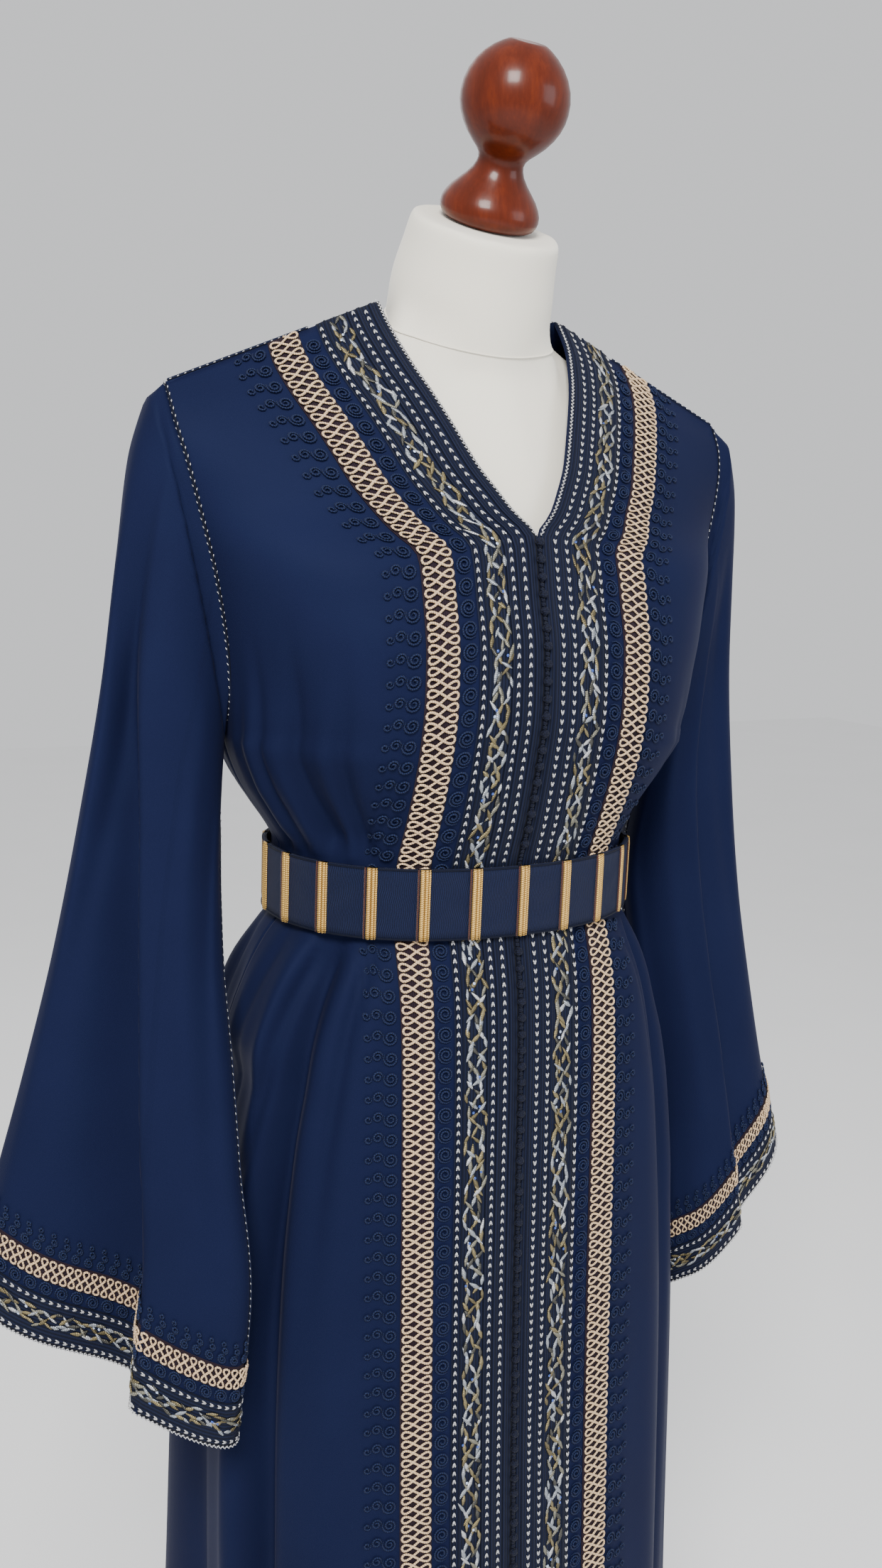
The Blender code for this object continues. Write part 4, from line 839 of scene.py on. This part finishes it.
print("stage: trimming")
trim = {
    "ground": 0.05, "edgeChain": 0.16, "edge": 0.35, "veeInner": 1.35, "veeMiddle": 2.3, "leaves": 3.65,
    "veeOuter": 5.0, "scroll": 5.95, "cream": 7.95, "finial": 9.45, "hem": 0.4,
    "veePitch": 0.66, "veeLong": 0.42, "veeWide": 0.24, "veeThick": 0.06, "grainPitch": 0.34,
    "width": (0.02, 5.25), "thick": 0.1, "ribs": ((1.82, 0.17), (0.8, 0.15), (2.72, 0.08), (4.6, 0.08)),
    "creamGround": (6.72, 9.18), "creamLayer": (0.03, 0.06),  # the second: how high it lies, how thick it is
    "creamPitch": 0.74, "creamReach": 1.1, "creamLoop": 0.46, "creamRadius": 0.093,
    "scrollPitch": 1.48, "finialPitch": 1.48, "cordRadius": 0.078, "leafPitch": 0.6,
    "stemPeriod": 4.6, "leafLean": -0.8,
}
slot, cream = "navy_braid", "cream_braid"


def spiral(middle, outer, inner, turns, begin, way, steps):
    t = np.linspace(0.0, 1.0, steps)
    turn = begin + way * turns * 2 * np.pi * t
    reach = outer + (inner - outer) * t
    return together(middle[0] + reach * np.cos(turn), middle[1] + reach * np.sin(turn), 0.05 * t)


def chain(name, panel, middle, first, last, look, slot, lift=0.05, wide=0.055, pitch=None):
    # two lines of slanting stitches that read as a fine plait
    pitch = pitch or trim["grainPitch"]
    along = np.arange(first, last, pitch)
    spots = np.concatenate([together(middle - wide * 0.75, along), together(middle + wide * 0.75, along + pitch / 2)])
    turns = np.repeat([0.55, -0.55], len(along))
    return grains(name, panel, middle, spots, (wide, pitch * 0.4, 0.05), turns, lift, look)


def vees(name, panel, middle, first, last, lift=0.06, down=False, size=1.0):
    # V stitches in a row: two short bars that meet
    long, wide, thick = trim["veeLong"] * size, trim["veeWide"] * size, trim["veeThick"] * size
    along = np.arange(first, last, trim["veePitch"] * size)
    lean = math.atan2(wide / 2, long)
    way = -1 if down else 1
    spots = np.concatenate([together(middle + hand * wide / 4, along) for hand in (-1, 1)])
    turns = np.where(spots[:, 0] < middle, -way * lean, way * lean)
    return grains(name, panel, middle, spots, (thick * 1.25, long * 0.52, 0.05), turns, lift, "silver")


# silver and gold tones of the metal thread, with a dark tint that is painted shade and a bright one that is painted
# highlight
leafTonesWithPaintedLight = np.array([colour(158, 164, 172), colour(132, 130, 116), colour(138, 126, 92), colour(110, 100, 72),
                      colour(74, 74, 70), colour(198, 200, 204)])


def leaves(name, panel, middle, first, last, half=0.8, size=1.0, lift=0.05):
    # metal-thread leaves laid along three stems that cross and part again
    pitch, period = trim["leafPitch"] * size, trim["stemPeriod"] * size
    each = int((last - first) / pitch)
    stem = np.repeat([0, 1, 2], each)
    count = len(stem)
    along = (first + (np.tile(np.arange(each), 3) + stem / 3) * (last - first) / each
             + dice.uniform(-0.12, 0.12, count) * size)
    angle = 2 * np.pi * (along / period + stem / 3) + 0.9 * np.sin(2 * np.pi * along / (period * 2.7))
    swing = np.array([0.92, 0.6, 0.78])[stem]
    across = middle + half * swing * np.sin(angle) + dice.uniform(-0.13, 0.13, count) * size
    turns = (np.arctan(half * swing * np.cos(angle) * 2 * np.pi / period) * trim["leafLean"]
             + dice.uniform(-0.42, 0.42, count))
    sizes = np.stack([dice.uniform(0.14, 0.21, count) * size, dice.uniform(0.4, 0.68, count) * size,
                      dice.uniform(0.06, 0.1, count)], -1)
    tints = leafTonesWithPaintedLight[dice.choice(len(leafTonesWithPaintedLight), count, p=(0.26, 0.2, 0.18, 0.13, 0.13, 0.1))]
    spots = together(np.clip(across, middle - half, middle + half), along)
    return grains(name, panel, middle, spots, sizes, turns, lift, "leaf", tints, 0.7, "leaf")


def sequins(name, panel, middle, first, last, pitch=4.2, half=0.7, lift=0.16):
    along = np.arange(first, last, pitch)
    along = along + dice.uniform(-1.5, 1.5, len(along))
    along = np.repeat(along, 2) + np.tile([0.0, 0.42], len(along))
    spots = together(middle + dice.uniform(-half, half, len(along)), along)
    tints = np.array([colour(60, 90, 170), colour(190, 205, 235)])[dice.integers(0, 2, len(along))]
    return grains(name, panel, middle, spots, (0.13, 0.13, 0.035), 0.0, lift, "sequin", tints)


def creamBraid(name, panel, middle, first, last, reach, slot, lift=0.05, size=1.0):
    # one cord laced in figures of eight: loops at both edges, crossings down the middle
    pitch = trim["creamPitch"] * size
    count = int(round((last - first) / pitch))
    pitch = (last - first) / count
    t = np.linspace(0.0, 2 * np.pi * count, count * 21 + 1)
    path = together(middle + reach * np.sin(t), pitch * (t / (2 * np.pi) + trim["creamLoop"] * np.sin(2 * t)),
                    0.05 * (1 + np.sin(t)))
    return cords(name, panel, middle, [first], path, trim["creamRadius"] * size, lift, "cream", slot)


def scrolls(name, panel, middle, first, last, size, slot, mirror=False, lift=0.03):
    # a running row of spirals of navy cord
    pitch = trim["scrollPitch"] * size
    starts = np.arange(first + pitch / 2, last - pitch / 3, pitch)
    path = spiral((middle, 0.0), 0.64 * size, 0.1 * size, 2.4, -2.2, 1.0, 26)
    return cords(name, panel, middle, starts, path, trim["cordRadius"], lift, "navyCord", slot, 4, 2, mirror)


def finials(name, panel, middle, first, last, size, slot, mirror=False, lift=0.02):
    # spirals that step outwards from big to tiny, as one cord
    pitch = trim["finialPitch"] * size
    starts = np.arange(first + pitch / 2, last - pitch / 3, pitch)
    big = spiral((middle + 0.5 * size, -0.05), 0.08 * size, 0.56 * size, 2.0, 0.6, 1.0, 21)
    mid = spiral((middle + 1.46 * size, 0.14 * size), 0.4 * size, 0.1 * size, 1.5, 3.5, -1.0, 15)
    tiny = spiral((middle + 2.16 * size, 0.02), 0.3 * size, 0.08 * size, 1.2, 2.8, 1.0, 10)
    made = []
    for part, path in (("big", big), ("mid", mid), ("tip", tiny)):
        made.append(cords(name + "_" + part, panel, middle, starts, path, trim["cordRadius"], lift, "navyCord", slot,
                          4, 2, mirror))
    return joined(made, name)


for side, word in hands:
    panel = frontPanels[side]
    hem = trim["hem"]
    end = {band: panel.arc(trim[band])[-1] - 0.1 for band in
           ("edge", "veeInner", "veeMiddle", "leaves", "veeOuter", "scroll", "cream", "finial")}
    base = strip("placket_" + word + "_braid", panel, *trim["width"], trim["ground"], trim["thick"], "rib", slot)
    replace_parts(base, "placket_" + word)
    raised = trim["ground"] + trim["thick"]
    for spot, half in trim["ribs"]:
        strip("rib_%s_%02d" % (word, spot * 10), panel, spot - half, spot + half, raised, 0.07, "rib", slot, steps=5,
              middle=spot)
    neckStart = float(np.interp(body["vRow"], marks, panel.arc(trim["edgeChain"]))) + 0.2
    chain("edge_chain_" + word, panel, trim["edgeChain"], neckStart, end["edge"], "silver", slot, raised, 0.07)
    for spot in ("veeInner", "veeMiddle", "veeOuter"):
        vees(spot + "_" + word, panel, trim[spot], hem, end[spot], raised, down=side > 0)
    leaves("leaves_" + word, panel, trim["leaves"], hem, end["leaves"], lift=raised - 0.03)
    sequins("sequins_" + word, panel, trim["leaves"], hem + 2, end["leaves"] - 1, lift=raised + 0.07)
    scrolls("scrolls_" + word, panel, trim["scroll"], hem, end["scroll"], 1.0, slot, mirror=side > 0)
    ground = strip("cream_ground_" + word, panel, *trim["creamGround"], *trim["creamLayer"], "ground", cream,
                   middle=trim["cream"])
    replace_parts(ground, "cream_braid_" + word)
    creamBraid("cream_loops_" + word, panel, trim["cream"], hem, end["cream"], trim["creamReach"], cream, 0.08)
    finials("finials_" + word, panel, trim["finial"], hem, end["finial"], 1.0, slot, mirror=side > 0)

print("stage: neckband")
neckTurns = np.linspace(0.0, np.pi, 61)
neckSpread = np.arange(0.0, 5.61, 0.35)


def neckSpot(turn, away):
    # a point of the back this far from the neck edge, on a line fanned out from the neck: down the
    # shoulder's slope at the sides, straight down in the middle
    c, s = math.cos(turn), math.sin(turn)
    out = np.array([0.919 * c, -(s + 0.395 * abs(c))])
    out /= np.linalg.norm(out)
    edgeX = body["neckX"] * c
    edgeZ = mix(body["backNeckZ"], body["neckZ"], abs(c))
    return backAt(-(edgeX + out[0] * away), edgeZ + out[1] * away - 0.02)


neckPanel = Panel(np.array([[neckSpot(turn, away) for away in neckSpread] for turn in neckTurns]), neckSpread,
                  lambda points: np.array([0.0, 1.0, 0.35]))
base = strip("neckband_braid", neckPanel, *trim["width"], trim["ground"], trim["thick"], "rib", "navy_braid",
             middle=2.6)
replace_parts(base, "neckband")
for spot in ("veeInner", "veeMiddle", "veeOuter"):
    vees(spot + "_neck", neckPanel, trim[spot], 0.2, neckPanel.arc(trim[spot])[-1] - 0.2, 0.15)
chain("edge_chain_neck", neckPanel, trim["edgeChain"], 0.1, neckPanel.arc(trim["edgeChain"])[-1] - 0.1, "silver",
      "navy_braid", 0.15, 0.07)
leaves("leaves_neck", neckPanel, trim["leaves"], 0.2, neckPanel.arc(trim["leaves"])[-1] - 0.2, lift=0.12)

print("stage: cuffs")
cuff = {"ground": (0.1, 3.35), "groundMiddle": 1.7, "layer": (0.04, 0.09), "raised": 0.12, "edge": 0.12,
        "vees": (0.5, 3.05), "leaves": 1.85, "scroll": 3.85, "cream": 5.2, "creamGround": (4.35, 6.05),
        "creamReach": 0.72, "finial": 6.2}
for side, word in hands:
    panel = cuffPanels[side]
    circuit = {band: panel.arc(cuff[band])[-1] for band in ("edge", "leaves", "scroll", "cream", "finial")}
    base = strip("cuff_band_" + word + "_braid", panel, *cuff["ground"], *cuff["layer"], "rib", slot,
                 middle=cuff["groundMiddle"])
    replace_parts(base, "cuff_band_" + word)
    chain("cuff_edge_" + word, panel, cuff["edge"], 0.0, circuit["edge"], "silver", slot, cuff["raised"], 0.06)
    for spot in cuff["vees"]:
        vees("cuff_vees_%s_%02d" % (word, spot * 10), panel, spot, 0.0, panel.arc(spot)[-1] - 0.3,
             cuff["raised"], size=0.9)
    leaves("cuff_leaves_" + word, panel, cuff["leaves"], 0.0, circuit["leaves"], 0.62, 0.85, 0.1)
    sequins("cuff_sequins_" + word, panel, cuff["leaves"], 1.0, circuit["leaves"], 5.0, 0.5, 0.16)
    scrolls("cuff_scrolls_" + word, panel, cuff["scroll"], 0.0, circuit["scroll"], 0.8, slot)
    ground = strip("cuff_ground_" + word, panel, *cuff["creamGround"], *trim["creamLayer"], "ground", cream,
                   middle=cuff["cream"])
    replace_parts(ground, "cuff_braid_" + word)
    creamBraid("cuff_loops_" + word, panel, cuff["cream"], 0.0, circuit["cream"] - 0.1, cuff["creamReach"], cream, 0.08,
               0.85)
    finials("cuff_finials_" + word, panel, cuff["finial"], 0.0, circuit["finial"], 0.66, slot)

print("stage: knots and seams")
knots = {"count": 18, "strands": 4, "twist": 0.4, "pitch": 1.2, "top": 0.4, "strand": (0.17, 0.27, 0.17), "reach": 0.1,
         "loop": (0.3, 0.2), "loopCord": 0.055, "beadPitch": 0.34, "bead": (0.2, 0.2, 0.07), "beltGap": (101.0, 107.3)}
panel = frontPanels[-1]
centreArc = panel.arc(0.0)
vArc = float(np.interp(body["vRow"], marks, centreArc))
beltArc = [float(np.interp(z, panel.points[:, 0, 2], centreArc)) for z in knots["beltGap"]]
along = np.arange(vArc - knots["top"], 0.8, -knots["pitch"])
along = along[(along < beltArc[0]) | (along > beltArc[1])]


class Line:
    # a path over the cloth with its own normals, used for seams and knots like a band's edge

    def __init__(self, points, normals):
        self.points, self.normals = np.asarray(points, float), unit(np.asarray(normals, float))
        self.arc0 = lengths(self.points)
        self.flips = False

    def arc(self, across):
        return self.arc0

    def place(self, middle, across, along, lift):
        along, across, lift = np.broadcast_arrays(along, across, lift)
        spot = readLine(along, self.arc0, self.points)
        normal = unit(readLine(along, self.arc0, self.normals))
        ahead = readLine(along + 0.1, self.arc0, self.points) - readLine(along - 0.1, self.arc0, self.points)
        sideways = unit(np.cross(unit(ahead), normal))
        return spot + sideways * across[..., None] + normal * lift[..., None]


centre = frontPanels[-1].points[: int((marks <= body["vRow"]).sum()), 0] * np.array([0.0, 1.0, 1.0])
centreNormal = frontPanels[-1].normal[: len(centre), 0] * np.array([0.0, 1.0, 1.0])
centreLine = Line(centre, centreNormal)
spots, sizes, turns = [], [], []
for k, spot in enumerate(along):
    for part in range(knots["strands"]):
        turn = part * 2 * np.pi / knots["strands"] + knots["twist"] * (k % 3)
        spots.append((knots["reach"] * math.cos(turn), spot + knots["reach"] * math.sin(turn)))
        sizes.append(knots["strand"])
        turns.append(turn)
knotPiece = grains("knot_buttons", centreLine, 0.0, spots, sizes, turns, 0.2, "knot", kind="knot")
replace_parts(knotPiece, *["button_%02d" % (k + 1) for k in range(knots["count"])])
loops = np.linspace(0, 2 * np.pi, 15)[:-1]
ringPath = together(knots["loop"][0] * np.cos(loops), knots["loop"][1] * np.sin(loops), 0.02)
cords("knot_loops", centreLine, 0.0, along, ringPath, knots["loopCord"], 0.17, "knot", "knot_thread", 4, closed=True)
beads = np.arange(0.6, vArc - 0.5, knots["beadPitch"])
grains("closing_braid", centreLine, 0.0, together(0.0, beads), knots["bead"], 0.0, 0.14, "knot")


seams = {"stitches": (0.03, 0.06, 0.56), "cord": (0.1, -0.03), "step": 0.5}  # lift, width, pitch; radius, lift


def straight(first, last, steps):
    # the path of a cord that runs straight along its line
    return together(0.0, np.linspace(first, last, steps), 0.0)


def seam(name, points, normals):
    # silver stitches plaited over a navy cord that lies on a seam
    line = Line(points, normals)
    last = line.arc0[-1]
    chain(name + "_silver", line, 0.0, 0.05, last - 0.05, "silver", "navy_cloth", *seams["stitches"])
    path = straight(0.02, last - 0.02, max(int(last / seams["step"]), 4))
    cords(name + "_cord", line, 0.0, [0.0], path, *seams["cord"], "rib", "navy_cloth", 5)


shoulderX = np.linspace(body["neckX"] + 5.4, 22.9, 24)
for side, word in hands:
    ridge = together(side * shoulderX, body["shoulderY"], body["neckZ"] - body["slope"] * (shoulderX - body["neckX"]))
    seam("shoulder_seam_" + word, ridge, np.broadcast_to([0.39 * side, 0.0, 0.92], ridge.shape))
    rings = sleeveRings(side)
    hole = rings[0]
    count = len(hole)
    order = list(range(count // 2, -1, -1)) + list(range(count - 1, count // 2 - 1, -1))
    around = hole[order]
    nextRing = rings[8][order]
    outwards = unit(np.cross(np.gradient(around, axis=0), nextRing - around))
    outwards *= np.sign((outwards * (around - around.mean(axis=0))).sum(axis=1, keepdims=True))
    outwards = unit(outwards + np.array([side * 0.55, 0.0, 0.0]))
    seam("armhole_seam_" + word, around, outwards)
    under = rings[2:, count // 2][::-1]
    inwards = unit(under - rings[2:].mean(axis=1)[::-1])
    seam("sleeve_seam_" + word, under, inwards)

print("stage: belt")
belt = {"low": 101.4, "top": 106.6, "standoff": 0.36, "thick": 0.3, "bars": 22, "firstArc": 0.2,
        "cords": ((-0.2, 0.175), (0.1, 0.135), (0.31, 0.08)), "bend": 2.2, "around": 260}
turn = np.linspace(0.0, 2 * np.pi, 2881)
grow = belt["standoff"] + belt["thick"]
middleZ = (belt["low"] + belt["top"]) / 2
wideHalf = float(halfWidth(middleZ)) + grow
deep = np.where(np.cos(turn) > 0, float(depthFront(middleZ)) + grow, float(depthBack(middleZ)) + grow)
outline = together(wideHalf * np.sign(np.sin(turn)) * np.abs(np.sin(turn)) ** (2 / belt["bend"]),
                   -deep * np.sign(np.cos(turn)) * np.abs(np.cos(turn)) ** (2 / belt["bend"]))
arc = lengths(outline)
even = np.linspace(0.0, arc[-1], belt["around"] + 1)
loop = readLine(even, arc, outline)
high = np.linspace(0.0, belt["top"] - belt["low"], 9)
beltPoints = together(loop[:, :1], loop[:, 1:], belt["low"] + high)
beltPanel = Panel(beltPoints, high, fromMiddle, closed=True)
maps = together(high[None, :], even[:, None])
band = gridPiece("belt_band", beltPoints, "belt", maps, beltPanel.flips, belt["thick"], True)
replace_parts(band, "belt")
tall = high[-1]
for spot in (0.07, tall - 0.07):
    path = straight(0.0, arc[-1], 401)[:-1] + np.array([spot, 0.0, 0.0])
    cords("belt_edge_%d" % round(spot), beltPanel, spot, [0.0], path, 0.1, -0.13, "rib", "navy_braid", 6)
rise = np.concatenate([[-0.1], np.linspace(-0.03, tall + 0.03, 12), [tall + 0.1]])
lifted = np.array([-0.2, -0.04] + [0.0] * 10 + [-0.04, -0.2])
barPlaces = belt["firstArc"] + np.arange(belt["bars"]) * arc[-1] / belt["bars"]
for bar, start in enumerate(barPlaces % arc[-1]):
    made = []
    for away, radius in belt["cords"]:
        path = together(rise, away, lifted)
        made.append(cords("bar", beltPanel, tall / 2, [start], path, radius, 0.02 - radius * 0.9, "gold",
                          "belt_gold", 8))
    name = "belt_bar_%02d" % (bar + 1)
    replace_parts(joined(made, name + "_cords"), name)
path = together(rise, 0.0, lifted)
cords("belt_bar_piping", beltPanel, tall / 2, (barPlaces - 0.5) % arc[-1], path, 0.07, 0.0, "brown", "belt_gold", 6)

print("stage: form and stand")
form = {"sides": 72, "seamRays": 96, "seamCord": (0.06, -0.01), "seamDrop": 7.4,
        "neckLean": math.radians(24.0), "neckTop": (0.0, -2.3, 151.85)}
knob = {"profile": ((0.0, 0.0), (0.0, 2.5), (0.06, 3.0), (0.3, 3.38), (0.6, 3.56), (0.9, 3.62), (1.3, 3.58), (1.7, 3.4),
                    (2.15, 3.1), (2.6, 2.7), (3.1, 2.24), (3.6, 1.87), (4.0, 1.7), (4.3, 1.65), (4.6, 1.73),
                    (4.9, 1.96), (5.3, 2.4), (5.8, 2.87), (6.4, 3.3), (7.0, 3.6), (7.6, 3.78), (8.2, 3.84),
                    (8.9, 3.79), (9.6, 3.6), (10.3, 3.24), (10.9, 2.77), (11.4, 2.22), (11.75, 1.7),
                    (11.93, 1.35), (11.98, 1.2), (11.96, 0.6), (11.95, 0.0)), "mapStep": (0.5, 0.3)}
neckAxis = np.array([0.0, -math.sin(form["neckLean"]), math.cos(form["neckLean"])])


def turnedPoints(profile, sides, place, axis):
    # a turned shape: its profile carried round the axis
    across = np.array([1.0, 0.0, 0.0])
    back = np.cross(axis, across)
    turn = np.linspace(0.0, 2 * np.pi, sides + 1)[:, None, None]
    high, wide = (np.array([cell[k] for cell in profile])[None, :, None] for k in (0, 1))
    return np.array(place) + axis * high + (across * np.cos(turn) + back * np.sin(turn)) * wide


points = turnedPoints(knob["profile"], form["sides"], form["neckTop"], neckAxis) + neckAxis * 0.03
maps = together(np.arange(points.shape[1])[None, :] * knob["mapStep"][0],
                np.arange(points.shape[0])[:, None] * knob["mapStep"][1])
piece = gridPiece("neck_knob_turned", points, "wood", maps, merge=True)
edited(piece, lambda: bpy.ops.mesh.normals_make_consistent(inside=False))
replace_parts(piece, "neck_knob")

source = frame["nodes"]["form_body"]
skin = source.copy()
skin.data = source.data.copy()
skin.name = skin.data.name = "form_cover_skin"
bpy.context.collection.objects.link(skin)
edited(skin, lambda: bpy.ops.mesh.remove_doubles(threshold=weld), lambda: bpy.ops.mesh.tris_convert_to_quads(),
       lambda: bpy.ops.mesh.normals_make_consistent(inside=False))
for name in list(skin.keys()):
    del skin[name]
applied(skin, "SUBSURF", levels=2, render_levels=2)
skin.data.shade_smooth()
dress(skin, "jersey")
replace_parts(skin, "form_body")

# the seam where the neck's cover meets the chest's, found on the skin itself
axis = Vector(neckAxis)
sideways = Vector((1.0, 0.0, 0.0))
centre = Vector(form["neckTop"]) * cm - axis * form["seamDrop"] * cm
seamPoints, seamNormals = [], []
for k in range(form["seamRays"] + 1):
    turn = 2 * math.pi * k / form["seamRays"]
    away = sideways * math.cos(turn) + axis.cross(sideways) * math.sin(turn)
    hit, spot, normal, _ = skin.ray_cast(centre, away)
    if hit:
        seamPoints.append(np.array(spot) / cm)
        seamNormals.append(np.array(normal) * (1.0 if normal.dot(away) > 0 else -1.0))
line = Line(seamPoints, seamNormals)
cords("neck_seam", line, 0.0, [0.0], straight(0.0, line.arc0[-1] - 0.05, 260), *form["seamCord"], "jersey",
      "form_cover", 6)
for node in ("stand_base", "stand_pole"):
    for held in frame["nodes"][node].material_slots:
        held.material = finishes["steel"]

print("stage: studio")
studio = {"place": (-0.5229142, -0.9656904, 1.3045863), "yaw": 28.097, "pitch": -10.306, "roll": 2.162,
          "sensor": 36.0, "lens": 2001.0 / 2208.0 * 36.0, "floor": 14.0,
          "sky": (0.97, 0.98, 1.0, 1.0), "skyPower": 0.85}
yaw, pitch, roll = (math.radians(studio[key]) for key in ("yaw", "pitch", "roll"))
ahead = Vector((math.sin(yaw) * math.cos(pitch), math.cos(yaw) * math.cos(pitch), math.sin(pitch)))
right = Vector((math.cos(yaw), -math.sin(yaw), 0.0))
up = right.cross(ahead)
rolledRight = right * math.cos(roll) + up * math.sin(roll)
rolledUp = up * math.cos(roll) - right * math.sin(roll)
view = bpy.data.cameras.new("photographView")
view.lens, view.sensor_width, view.clip_start = studio["lens"], studio["sensor"], 0.02
camera = bpy.data.objects.new("photographView", view)
bpy.context.collection.objects.link(camera)
camera.matrix_world = (Matrix.Translation(studio["place"])
                       @ Matrix((rolledRight, rolledUp, -ahead)).transposed().to_4x4())
bpy.context.scene.camera = camera

bpy.ops.mesh.primitive_plane_add(size=studio["floor"], location=(0.0, 0.0, 0.0))
floor = bpy.context.object
floor.name = "studioFloor"
paper = Finish("palePaper", Specular_IOR_Level=0.1)
floor.data.materials.append(paper.done(Base_Color=paper.blend(paper.noise(3.0), (0.9, 0.9, 0.9), (0.94, 0.94, 0.94)),
                                       Roughness=0.9))
lamps = (  # name, place, aimed at, size, watts, colour
    ("keySoftbox", (-1.3, -2.0, 3.0), (0.0, 0.0, 1.15), 1.0, 145.0, (1.0, 0.98, 0.95)),
    ("fillSoftbox", (1.9, -2.0, 1.9), (0.0, 0.0, 1.1), 1.4, 26.0, (0.86, 0.92, 1.0)),
    ("backSoftbox", (0.6, 2.4, 2.4), (0.0, 0.0, 1.2), 1.6, 8.0, (1.0, 1.0, 1.0)),
)
for name, place, target, size, watts, tone in lamps:
    data = bpy.data.lights.new(name, "AREA")
    data.size, data.energy, data.color = size, watts, tone
    lamp = bpy.data.objects.new(name, data)
    bpy.context.collection.objects.link(lamp)
    lamp.matrix_world = (Matrix.Translation(place)
                         @ (Vector(target) - Vector(place)).to_track_quat("-Z", "Y").to_matrix().to_4x4())
world = bpy.data.worlds.new("paleStudio")
world.use_nodes = True
sky = world.node_tree.nodes["Background"]
sky.inputs["Color"].default_value = studio["sky"]
sky.inputs["Strength"].default_value = studio["skyPower"]
bpy.context.scene.world = world

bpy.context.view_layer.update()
total = sum(len(face.vertices) - 2 for piece in bpy.data.objects if piece.type == "MESH" and piece.name not in
            frame["nodes"] for face in piece.data.polygons)
print("triangles", total)
